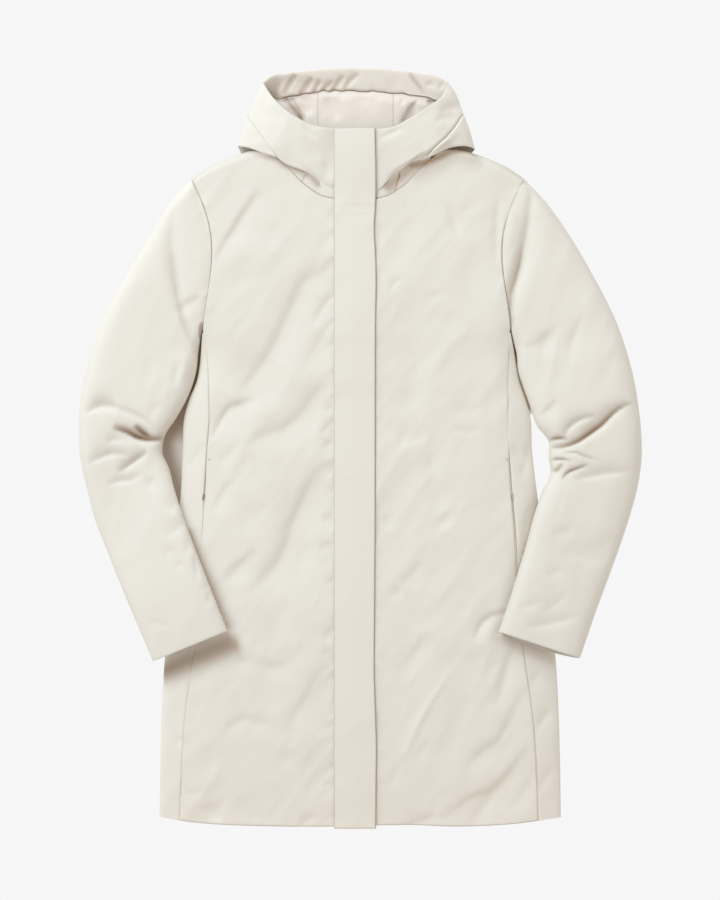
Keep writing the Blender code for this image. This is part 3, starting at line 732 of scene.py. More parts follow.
def blocks_tree(material):
    tree = bpy.data.node_groups.new(f"blocks_of_{material.name}", "GeometryNodeTree")
    tree.interface.new_socket("Geometry", in_out="INPUT", socket_type="NodeSocketGeometry")
    for size in BLOCK_SIZES:
        tree.interface.new_socket(size, in_out="INPUT", socket_type="NodeSocketFloat").default_value = MM
    tree.interface.new_socket("Geometry", in_out="OUTPUT", socket_type="NodeSocketGeometry")
    start, end = add_node(tree, "NodeGroupInput"), add_node(tree, "NodeGroupOutput")
    line = add_node(tree, "GeometryNodeMeshToCurve")
    steps = add_node(tree, "GeometryNodeResampleCurve", mode="LENGTH")
    tangent = add_node(tree, "GeometryNodeInputTangent")
    turn = add_node(tree, "FunctionNodeAlignRotationToVector", axis="X")
    block = add_node(
        tree, "GeometryNodeMeshUVSphere", {"Segments": BLOCK_SEGMENTS, "Rings": BLOCK_RINGS, "Radius": 0.5}
    )
    scale = add_node(tree, "ShaderNodeCombineXYZ")
    place = add_node(tree, "GeometryNodeInstanceOnPoints")
    real = add_node(tree, "GeometryNodeRealizeInstances")
    paint = add_node(tree, "GeometryNodeSetMaterial", {"Material": material})
    link(tree, start, "Geometry", line, "Mesh")
    link(tree, line, "Curve", steps, "Curve")
    link(tree, start, "Spacing", steps, "Length")
    link(tree, tangent, "Tangent", turn, "Vector")
    link(tree, steps, "Curve", place, "Points")
    link(tree, block, "Mesh", place, "Instance")
    link(tree, turn, "Rotation", place, "Rotation")
    for size, axis in zip(BLOCK_SIZES[1:], "XYZ"):
        link(tree, start, size, scale, axis)
    link(tree, scale, "Vector", place, "Scale")
    link(tree, place, "Instances", real, "Geometry")
    link(tree, real, "Geometry", paint, "Geometry")
    link(tree, paint, "Geometry", end, "Geometry")
    return tree


BLOCKS = {material.name: blocks_tree(material) for material in (THREAD, TEETH)}


def blocks_along(name, paths, sizes, material):
    """Small blocks of one size along paths of places in millimetres: spacing, length, width, height."""
    points, edges = [], []
    for path in paths:
        edges += [(len(points) + i, len(points) + i + 1) for i in range(len(path) - 1)]
        points += (np.asarray(path, float) * MM).tolist()
    line = bpy.data.meshes.new(name)
    line.from_pydata(points, edges, [])
    row = bpy.data.objects.new(name, line)
    bpy.context.scene.collection.objects.link(row)
    modifier = row.modifiers.new("blocks", "NODES")
    modifier.node_group = BLOCKS[material.name]
    for item in modifier.node_group.interface.items_tree:
        if item.in_out == "INPUT" and item.name in BLOCK_SIZES:
            modifier[item.identifier] = sizes[BLOCK_SIZES.index(item.name)] * MM
    seen = row.evaluated_get(bpy.context.evaluated_depsgraph_get())
    mesh = bpy.data.meshes.new_from_object(seen)
    row.modifiers.remove(modifier)
    row.data = mesh
    mesh.shade_smooth()
    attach(row, "root")
    print(f"{name}: {len(mesh.polygons) // (BLOCK_SEGMENTS * BLOCK_RINGS)} blocks")
    return row

# %% [markdown]
# ## Zips and loops
# The zip lies between the fronts, under the storm flap. Each pocket opens in the seam beside the front,
# over a narrow zip tape of its own, with a small loop of cloth to pull it by.

# %% The zip of the front
ZIP_TAPE = (ZIP_HALF - 0.3, 2.0)  # half width and thickness
ZIP_SUNK = 1.6  # the tape lies this far below the fronts, with room for its teeth
TOOTH = (2.6, 1.5, 2.4, 1.3)  # spacing, length, width and height
TOOTH_OUT, TOOTH_UP = 1.0, 0.4  # of a row of teeth, from the middle of the tape
TOOTH_MARGIN = 3.0  # the teeth stop this far from the ends of the tape


def strip(node, path, tape, height, slot, near=0.0):
    """A narrow band along a path. The tape is its half width and its thickness."""
    half, wall = tape
    grid = places(path[:, :1] + half * np.linspace(-1, 1, 5), path[:, 1:])
    skin = with_height(grid, height(*axes(grid)))
    return piece(node, slot, skin, down(skin, wall), np.full(skin.shape[:2], near))


def on_zip(x, y):
    return centre_height(x, y) - ZIP_SUNK


on_front = {side: [] for side in (-1, 1)}  # the pieces that go with each front
zip_y = np.arange(HEM_AT(ZIP_X) + 0.3, FLAP_TOP_Y - 1, 5.0)
tooth_rows = []
for row_side in (-1, 1):
    shift = row_side * TOOTH[0] / 4  # the two rows stand half a spacing apart
    row_y = np.arange(zip_y[0] + TOOTH_MARGIN + shift, zip_y[-1] - TOOTH_MARGIN, 2 * TOOTH[0])
    row_x = ZIP_X + TOOTH_OUT * row_side
    tooth_rows.append(places(row_x, row_y, on_zip(row_x, row_y) + TOOTH_UP))
on_front[-1].append(strip("zip_front", places(ZIP_X, zip_y), ZIP_TAPE, on_zip, "zip_tape"))
on_front[-1].append(blocks_along("zip_front_teeth", tooth_rows, TOOTH, TEETH))

# %% The zips and loops of the pockets
POCKET_TAPE = (1.3, 1.5)
POCKET_SUNK = 2.4
COIL = (1.6, 1.0, 1.8, 0.7)
COIL_UP = 0.2
LOOP_TAPE = (1.0, 1.2)
LOOP_UP = 0.4
LOOP_FROM, LOOP_TO = -5.0, 3.0  # its ends, from LOOP_Y
LOOP_OFF, LOOP_SLANT = 0.6, 0.12  # how far it is off the pocket's seam, and how much it slants
LOOP_SHADE = {-1: 0.9, 1: 0.5}


def in_pocket(x, y):
    return body_height(x, y) - POCKET_SUNK


def on_pocket(x, y):
    return body_height(x, y) + LOOP_UP


for side in (-1, 1):
    word = WORDS[side]
    pocket_y = np.arange(POCKET_FOOT + 3, POCKET_TOP - 2, 4.0)
    pocket = places(SEAM_AT[side](pocket_y), pocket_y)
    under = strip(f"pocket_zip_{word}", pocket, POCKET_TAPE, in_pocket, "zip_tape")
    coil_x, coil_y = pocket[1:-1].T
    coil = places(coil_x, coil_y, in_pocket(coil_x, coil_y) + COIL_UP)
    teeth = blocks_along(f"pocket_zip_teeth_{word}", [coil], COIL, TEETH)
    loop_y = np.linspace(LOOP_Y + LOOP_FROM, LOOP_Y + LOOP_TO, 9)
    loop = places(SEAM_AT[side](loop_y) + side * LOOP_OFF - LOOP_SLANT * (LOOP_Y - loop_y), loop_y)
    pull = strip(f"pocket_loop_{word}", loop, LOOP_TAPE, on_pocket, "trim", LOOP_SHADE[side])
    on_front[side] += [under, teeth, pull]

# %% [markdown]
# ## The fronts
# Each front runs from the hem to the shoulder. Its long folds rise towards the middle, because the coat was
# smoothed down from the shoulders and out from the zip. Under the storm flap the cloth is flat, so the
# folds fade out there, and small gathers stand beside the flap's seam.

# %% Folds of the wearer's right front
RIGHT_FOLDS = [
    Fold(2.6, 7.3, -0.4, 0.65, [(-131, 334), (-153, 302), (-164, 283), (-176, 266), (-188, 241)]),
    Fold(1, 14.6, 0, 0.25, [(-123, 261), (-115, 277), (-109, 294)]),
    Fold(0.8, 14.6, 0, 0.25, [(-166, 204), (-148, 219), (-131, 227)]),
    Fold(4.2, 14.6, -0.4, 0.6, [
        (-30, 246), (-49, 230), (-72, 215), (-84, 193), (-98, 162), (-115, 127), (-136, 96), (-157, 72),
    ]),
    Fold(2.6, 25.5, -0.2, 0.15, [(-120, 120), (-140, 92), (-157, 63)]),
    Fold(3.6, 8.2, -0.4, 0.75, [(-134, 65), (-155, 58), (-169, 53), (-180, 38), (-193, 11)]),
    Fold(1.7, 7.3, -0.3, 0.65, [(-33, 202), (-47, 185), (-62, 160)]),
    Fold(1.8, 10.9, -0.3, 0.45, [(-33, 172), (-46, 148), (-59, 125), (-71, 105)]),
    Fold(3.1, 12.7, -0.3, 0.55, [
        (-33, 86), (-52, 75), (-64, 60), (-80, 40), (-102, 24), (-126, 16), (-149, 5),
    ]),
    Fold(1.4, 9.1, 0, 0.25, [(-154, 9), (-169, -7), (-185, -20)]),
    Fold(1.3, 5.5, -0.3, 0.65, [(-33, 57), (-47, 47)]),
    Fold(1.3, 5.5, -0.3, 0.65, [(-32, 41), (-51, 18)]),
    Fold(1.3, 14.6, 0, 0.25, [(-144, -6), (-154, -32), (-157, -54)]),
    Fold(1.2, 5.5, -0.2, 0.65, [(-34, 13), (-48, -1)]),
    Fold(4.4, 14.6, -0.45, 0.55, [
        (-36, -17), (-56, -33), (-68, -54), (-77, -75), (-88, -101), (-96, -127), (-106, -148),
        (-124, -168), (-147, -192),
    ]),
    Fold(1.8, 8.2, -0.3, 0.55, [(-167, -40), (-177, -55), (-190, -84)]),
    Fold(1.3, 14.6, 0, 0.25, [(-123, -70), (-139, -89), (-152, -115)]),
    Fold(2.3, 9.1, -0.3, 0.55, [(-133, -129), (-150, -147), (-163, -159), (-173, -175)]),
    Fold(1.6, 7.3, -0.2, 0.65, [(-33, -85), (-48, -98)]),
    Fold(1.6, 7.3, -0.2, 0.55, [(-36, -121), (-53, -132)]),
    Fold(1, 14.6, 0, 0.15, [(-61, -121), (-74, -149), (-81, -173)]),
    Fold(1.4, 16.4, 0, 0.25, [(-99, -195), (-104, -222), (-111, -245), (-117, -270)]),
    Fold(1.4, 9.1, -0.2, 0.45, [
        (-72, -251), (-87, -270), (-104, -285), (-128, -282), (-148, -276), (-168, -283),
    ]),
    Fold(1, 5.5, 0, 0.65, [(-34, -261), (-49, -269)]),
    Fold(1, 7.3, 0, 0.45, [(-33, -231), (-47, -251)]),
    Fold(2.4, 10.9, -0.4, 0.55, [
        (-37, -282), (-51, -291), (-62, -307), (-72, -327), (-87, -344), (-98, -357),
    ]),
    Fold(0.9, 18.2, 0, 0.15, [(-109, -301), (-119, -325), (-127, -340)]),
    Fold(1.6, 7.3, -0.3, 0.55, [(-112, -358), (-132, -356), (-148, -351), (-163, -357), (-178, -369)]),
    Fold(1, 12.7, 0, 0.25, [(-79, -340), (-95, -367), (-115, -378)]),
    Fold(1, 9.1, 0, 0.45, [(-33, -353), (-48, -368)]),
    Fold(1.1, 10.9, -0.2, 0.35, [(-41, -379), (-61, -407), (-77, -433)]),
    Fold(1.1, 10.9, -0.2, 0.35, [(-31, -394), (-48, -423), (-73, -447)]),
    Fold(0.8, 10.9, 0, 0.25, [(-88, -391), (-99, -415)]),
    Fold(1, 5.5, 0, 0.65, [(-33, -433), (-49, -439)]),
    Fold(1.6, 7.3, -0.3, 0.45, [(-202, -463), (-192, -477), (-180, -484)]),
    Fold(1.4, 9.1, -0.3, 0.45, [(-164, -460), (-149, -473), (-136, -487)]),
    Fold(1.5, 9.1, 0, 0.45, [(-56, -476), (-68, -483), (-80, -492)]),
    Fold(0.8, 18.2, 0, 0.15, [(-187, -383), (-195, -412), (-200, -432)]),
    Fold(0.5, 4.5, 0, 0.65, [(-227, -355), (-216, -356), (-209, -361)]),
    Fold(0.9, 5.5, 0, 0.55, [(-226, -448), (-213, -448), (-202, -443)]),
    Fold(1, 21.8, 0, 0.15, [(-34, -496), (-32, -327), (-32, -145), (-31, -41)]),
]

# %% Folds of the wearer's left front
LEFT_FOLDS = [
    Fold(1.7, 6.8, 0, 0.45, [(180, 328), (178, 300), (177, 271), (177, 240)]),
    Fold(1.4, 5.9, -0.2, 0.55, [(112, 319), (120, 297), (128, 269)]),
    Fold(0.6, 16.9, 0, 0.15, [(135, 259), (146, 230), (152, 199)]),
    Fold(0.7, 8.5, 0, 0.35, [(158, 317), (144, 312), (133, 304)]),
    Fold(1.4, 22, 0, 0.15, [(62, 207), (69, 154), (71, 102), (66, 49), (61, 10)]),
    Fold(0.7, 23.7, 0, 0.15, [(77, 322), (72, 270), (67, 225)]),
    Fold(1.4, 6.8, -0.5, 0.55, [(47, 5), (65, 9), (88, 16)]),
    Fold(1.2, 11.8, 0, 0.25, [(94, 14), (94, -17), (95, -54)]),
    Fold(1, 10.1, 0, 0.25, [(159, 54), (140, 49), (123, 56)]),
    Fold(1, 6.8, 0, 0.45, [(158, 23), (137, 22), (116, 26)]),
    Fold(0.7, 13.5, 0, 0.15, [(105, 178), (112, 160), (123, 146)]),
    Fold(0.8, 8.5, 0, 0.35, [(96, 206), (100, 191)]),
    Fold(1, 5.1, 0, 0.55, [(38, 202), (48, 217), (57, 220)]),
    Fold(-1.1, 16.9, 0, 0.15, [(178, 219), (180, 141), (182, 63), (182, 11)]),
    Fold(1.2, 13.5, 0, 0.15, [(103, -42), (100, -61), (95, -79)]),
    Fold(1.2, 13.5, 0, 0.15, [(104, -86), (115, -103)]),
    Fold(1, 6.8, 0, 0.45, [(35, -86), (39, -106)]),
    Fold(1.1, 6.8, -0.3, 0.55, [(80, -147), (66, -164), (52, -177)]),
    Fold(1, 8.5, 0, 0.35, [(52, -180), (39, -196)]),
    Fold(1.5, 8.5, -0.3, 0.55, [(85, -237), (74, -261), (62, -277), (48, -294)]),
    Fold(0.9, 20.3, 0, 0.15, [(76, -184), (80, -213), (76, -237)]),
    Fold(3.2, 6.8, -0.2, 0.85, [
        (193, -210), (180, -215), (169, -218), (159, -226), (152, -238), (148, -252),
    ]),
    Fold(0.9, 11.8, -0.2, 0.25, [(162, -270), (133, -274), (110, -277), (93, -285)]),
    Fold(-1.2, 4.4, 0, 0.35, [(118, -285), (104, -309), (89, -332), (75, -358), (62, -387), (49, -413)]),
    Fold(0.9, 6.8, 0, 0.35, [(93, -381), (81, -393), (76, -406)]),
    Fold(0.9, 6.8, 0, 0.45, [(59, -396), (46, -422), (38, -445)]),
    Fold(2.5, 8.5, -0.3, 0.65, [(203, -254), (192, -276), (187, -295), (182, -318), (172, -339)]),
    Fold(1.3, 8.5, -0.2, 0.45, [(181, -257), (172, -279), (161, -300)]),
    Fold(2.5, 9.3, -0.4, 0.55, [
        (219, -305), (202, -336), (190, -363), (177, -383), (158, -395), (146, -407), (137, -425),
    ]),
    Fold(0.9, 11.8, 0, 0.25, [(186, -293), (168, -329), (157, -350)]),
    Fold(2.8, 9.3, -0.4, 0.55, [
        (221, -384), (202, -412), (185, -434), (167, -449), (144, -455), (127, -467), (114, -479),
        (107, -488),
    ]),
    Fold(1.5, 8.5, -0.3, 0.45, [(231, -409), (215, -443), (195, -469)]),
    Fold(1.5, 8.5, -0.3, 0.45, [(171, -454), (153, -475), (140, -488)]),
    Fold(1.9, 7.6, -0.3, 0.55, [(102, -475), (81, -484), (55, -490)]),
    Fold(0.9, 13.5, 0, 0.15, [(137, -354), (119, -379), (103, -410)]),
    Fold(0.9, 13.5, 0, 0.15, [(147, -317), (124, -351), (116, -368)]),
]

# %% Shade and seams on the fronts
FRONT_FOLDS = {-1: RIGHT_FOLDS, 1: LEFT_FOLDS}
SHADE = {  # a line with its shade on the right, how far off the deepest shade is, its reach, and its strength
    -1: [
        ([(-262, -273), (-215, -254), (-170, -236)], 19, 15, 0.62),
        ([(-172, -232), (-200, -165), (-224, -110)], 0, 9, 0.45),
        (CORNER_FOOT[-1] + HOOD_FOOT[-1][1:5], 1, 5, 0.5),
    ],
    1: [
        ([(238, -48), (224, -90), (214, -128), (203, -164), (179, -237)], 0, 10, 0.3),
        ([(238, -48), (224, -90), (214, -128), (203, -164)], 0, 1.8, 0.6),
        ([(176, -238), (224, -254), (275, -270)], 6, 10, 0.2),
        (HOOD_FOOT[1][1:0:-1] + CORNER_FOOT[1][::-1], 4, 7, 0.85),
        (HOOD_FOOT[1][4:0:-1] + CORNER_FOOT[1][-1:], 5, 9, 0.62),
        (HOOD_FOOT[1][1:0:-1] + CORNER_FOOT[1][::-1], 9, 14, 0.3),
    ],
}
SHADE_END = 7.0  # how far a shade runs on past the ends of its line
SHADE_SPILL = 2.0  # and over to the line's other side
SEAM_DEPTHS = {  # how deep the seam beside a front sits at each height, from the hem up to the shoulder
    -1: [
        (-480, 0.3), (-260, 0.4), (-200, 0.6), (-190, 0.5), (-75, 0.35), (-60, 0.9), (-8, 0.9),
        (60, 0.6), (112, 0.4), (140, 0), (165, 0.1), (210, 0.25), (300, 1.0), (350, 0.7),
    ],
    1: [
        (-480, 0.8), (-260, 0.8), (-200, 0.9), (-190, 1.2), (-20, 1.2), (-8, 0.6), (60, 0.5),
        (112, 0.4), (140, 0), (165, 0.8), (290, 0.6), (310, 0.15), (350, 0.4),
    ],
}
SEAM_DEPTH = {side: curve(*zip(*SEAM_DEPTHS[side])) for side in (-1, 1)}


def in_shade(x, y, side):
    """How deep in the shade of a forearm, a cuff or the hood a place on the body is, from 0 to 1."""
    shade = np.zeros(np.shape(x))
    for path, deepest, reach, strength in SHADE[side]:
        path = np.array(path, float)
        signed, _ = across_path(x, y, path)
        long = np.linalg.norm(path[-1] - path[0])
        way = (path[-1] - path[0]) / long
        along = (x - path[0, 0]) * way[0] + (y - path[0, 1]) * way[1]
        past = np.maximum(np.maximum(-along, along - long), 0)
        here = strength * bell(signed + deepest, reach) * bell(past, SHADE_END)
        shade = np.maximum(shade, np.where(signed < SHADE_SPILL, here, 0))
    return shade


def side_edge(side):
    """The seam between a front and a side panel, from the hem up."""
    y = np.arange(BODY[0].y, UNDERARM_Y + 0.1, STEP)
    path = places(SEAM_AT[side](y), y)
    path[0, 1] = HEM_AT(path[0, 0])
    return path

# %% The fronts themselves
SHOULDER_SEAM = 4.2  # below the shoulder's outline
# the depth of the shoulder seam, and the shade painted into it
SHOULDER_DEPTH, SHOULDER_SEAM_SHADE = 0.8, 0.4


def clear_of_flap(x, relief):
    """0 under the storm flap and 1 well clear of it. Only troughs run on to its seam."""
    sewn = np.where(relief < 0, ramp(FLAP_RIGHT - x, -9, 0), ramp(FLAP_RIGHT - x, -1, 9))
    return np.where(x < 0, sewn, ramp(x - FLAP_LEFT, -4, 6))


def front_height(x, y, side):
    """The upper side of a front, with its folds."""
    flap_x = FLAP_RIGHT if side < 0 else FLAP_LEFT
    relief = pressed(x, y, FRONT_FOLDS[side]) + lie(x, y, 11 + side)
    for seam, height, reach, pitch, seed in (
        ([(flap_x, FLAP_FOOT_Y), (flap_x, FLAP_JOIN_Y)], 0.7, 11, 9, 21),
        (side_edge(side)[::8], 0.35, 8, 14, 31),
        (armhole(side, np.linspace(0, 1, 12)), 0.5, 9, 12, 41),
    ):
        relief = relief + puckers(x, y, seam, height, reach, pitch, seed + side)
    return body_height(x, y) + relief * clear_of_flap(x, relief)


def front(side):
    edge = np.vstack([side_edge(side), armhole(side, np.linspace(0, 1, 70))])
    zip_x = ZIP_X + side * ZIP_HALF
    middle = np.array([(zip_x, HEM_AT(zip_x)), (zip_x, NECKLINE_AT(ZIP_HALF))])
    foot_x = np.linspace(edge[0, 0], zip_x, 80)
    shoulder_x = np.linspace(edge[-1, 0], MIDDLE_X + side * NECK_HALF, 30)
    shoulder = places(shoulder_x, SHOULDER_AT(np.abs(shoulder_x - MIDDLE_X)))
    outs = np.linspace(112, ZIP_HALF, 60)
    neck = places(ZIP_X + side * outs, NECKLINE_AT(outs))
    grid = patch(places(foot_x, HEM_AT(foot_x)), np.vstack([edge[-1:], shoulder[1:], neck]), edge, middle)
    x, y = axes(grid)
    drop, near = turned_down(grid, (0.9, 0.8, SEAM_DEPTH[side](y), 0))
    out = np.abs(x - MIDDLE_X)
    at_shoulder = bell(SHOULDER_AT(out) - y - SHOULDER_SEAM, 0.9) * ramp(out, NECK_HALF, NECK_HALF + 8)
    drop = np.maximum(drop, SHOULDER_DEPTH * at_shoulder)
    # painted shade in the shoulder seam, and the painted shadows of the forearm, the cuff and the hood
    near = np.maximum(np.maximum(near, SHOULDER_SEAM_SHADE * at_shoulder), in_shade(x, y, side))
    skin = with_height(grid, front_height(x, y, side) - drop)
    node = f"front_{WORDS[side]}"
    return piece(node, "shell", skin, down(skin), near)

# %% [markdown]
# A bar tack closes each end of a pocket: a few threads laid close together across the end of the opening.

# %% Bar tacks, and the two fronts
TACK_IN = 1.2  # between a tack and the pocket's seam
TACK_ROWS = 3
TACK_PAST = 2.0  # between a tack and the end of its pocket
STITCH = (0.9, 0.8, 6.0, 0.4)  # spacing, length, width and height
STITCH_UP = 0.15

for side in (-1, 1):
    tacks = []
    for tack_y in (POCKET_TOP - TACK_PAST, POCKET_FOOT + TACK_PAST):
        tack_x = SEAM_AT[side](tack_y) - side * (TACK_IN + STITCH[2] / 2)
        ends_y = tack_y + np.array([-0.5, 0.5]) * STITCH[0] * (TACK_ROWS - 1)
        ends_x = np.full(2, tack_x)
        tacks.append(places(ends_x, ends_y, front_height(ends_x, ends_y, side) + STITCH_UP))
    on_front[side].append(blocks_along(f"bar_tacks_{WORDS[side]}", tacks, STITCH, THREAD))
    front(side)

# %% [markdown]
# ## The side panels
# A narrow panel joins each front to the back. It runs round the side fold, so its rings start on the front,
# turn under in a round fold, and end on the floor.

# %% Folds of the side panels
SIDE_FOLDS = {
    -1: [
        Fold(0.9, 5.2, 0, 0.4, [(-246, -384), (-232, -379), (-217, -383)]),
        Fold(1.2, 6.5, 0, 0.3, [(-226, -30), (-213, -10), (-201, 9)]),
        Fold(0.8, 7.8, 0, 0.2, [(-242, -327), (-237, -405)]),
    ],
    1: [
        Fold(1.4, 5.2, 0, 0.5, [(199, 5), (205, -8), (215, -18)]),
        Fold(1.6, 6.5, 0, 0.4, [(222, 10), (216, -16), (209, -42)]),
        Fold(1.4, 6.5, 0, 0.4, [(224, -68), (216, -94), (212, -126)]),
        Fold(1.6, 6.5, 0, 0.4, [(251, -336), (238, -352), (228, -370)]),
        Fold(1.2, 6.5, 0, 0.4, [(252, -413), (241, -430), (231, -446)]),
        Fold(1.2, 6.5, 0, 0.4, [(224, -315), (229, -297), (237, -287)]),
        Fold(1.2, 7.8, 0, 0.3, [(263, -366), (260, -431)]),
    ],
}

# %% The side panels themselves
HEM_SHAPE_TO = -400.0  # the hem's curve is gone above this
TOP_PARTS = np.r_[0, 0.02, 0.045, 0.08, 0.14, np.linspace(0.2, 1, 22)]  # of the arc from the seam to the fold
TURN = np.radians(np.linspace(0, 90, 9)[1:])
BASE_PARTS = np.linspace(0, 1, 7)[1:]
UPRIGHT = 0.35  # stands the wall up a little on top of the fold


def side_panel_y():
    """Heights of a side panel's rings: close together at the hem and at the underarm."""
    low = BODY[0].y + SEAM_STATIONS
    middle = np.arange(BODY[0].y + 8, UNDERARM_Y - 4, STEP)
    return np.r_[low, middle, UNDERARM_Y - SEAM_STATIONS[::-1][2:]][:, None]


def side_panel(side):
    y = side_panel_y()
    fold, seam = FOLD_AT[side](y), SEAM_AT[side](y) + side * SEAM_GAP / 2
    half = np.abs(fold - MIDDLE_X)
    first = np.arccos(np.clip(np.abs(seam - MIDDLE_X) / half, 0, 1))
    angle = first * (1 - TOP_PARTS)
    none_turned, none_below = np.zeros((len(y), len(TURN))), np.zeros((len(y), len(BASE_PARTS)))
    top_x = MIDDLE_X + side * half * np.cos(angle)
    top_z = body_height(top_x, y)
    turned_x = fold - side * FOLD * (1 - np.cos(TURN))
    below_x = fold - side * (FOLD + (SIDE_BACK - FOLD - SEAM_GAP / 2) * BASE_PARTS)
    x = np.hstack([top_x, turned_x, below_x])
    z = np.hstack([top_z, top_z[:, -1:] * (1 - np.sin(TURN)), none_below])
    out = np.hstack([side * np.cos(angle), side * np.cos(TURN) + none_turned, none_below])
    up = np.hstack([np.sin(angle) + UPRIGHT, none_turned - np.sin(TURN), none_below - 1])
    size = np.hypot(out, up)
    on_top = np.hstack([np.sqrt(np.clip(2 * np.sin(angle), 0, 1)), none_turned, none_below])
    hang = (HEM_AT(x) - BODY[0].y) * (1 - ramp(y, BODY[0].y, HEM_SHAPE_TO))
    grid = places(x, y + hang)
    relief = pressed(*axes(grid), SIDE_FOLDS[side]) + 0.6 * lie(*axes(grid), 51 + side)
    from_seam = np.abs(x - seam)
    depth = SEAM_DEPTH[side](y) * np.hstack([np.ones(angle.shape), none_turned, none_below])
    skin = with_height(grid, z + relief * on_top - depth * tucked(from_seam))
    # painted shade in the side seam, and the painted shadows of the forearm and the cuff
    near = np.maximum(SEAM_PAINTED_SHADE * depth * bell(from_seam, SEAM_SPREAD), in_shade(*axes(grid), side))
    back = skin - places(out, 0.0, up) / size[..., None] * WALL
    return piece(f"side_{WORDS[side]}", "shell", skin, back, near)


for side in (-1, 1):
    side_panel(side)

# %% [markdown]
# ## The sleeves
# A sleeve is a tube that has been laid down and bent at the elbow. Every ring is half of a flattened
# ellipse on a flat foot. The cloth on the inside of the bend has nowhere to go, so it gathers into short,
# deep creases, and a long valley runs down from the shoulder where the sleeve turns away from the body.

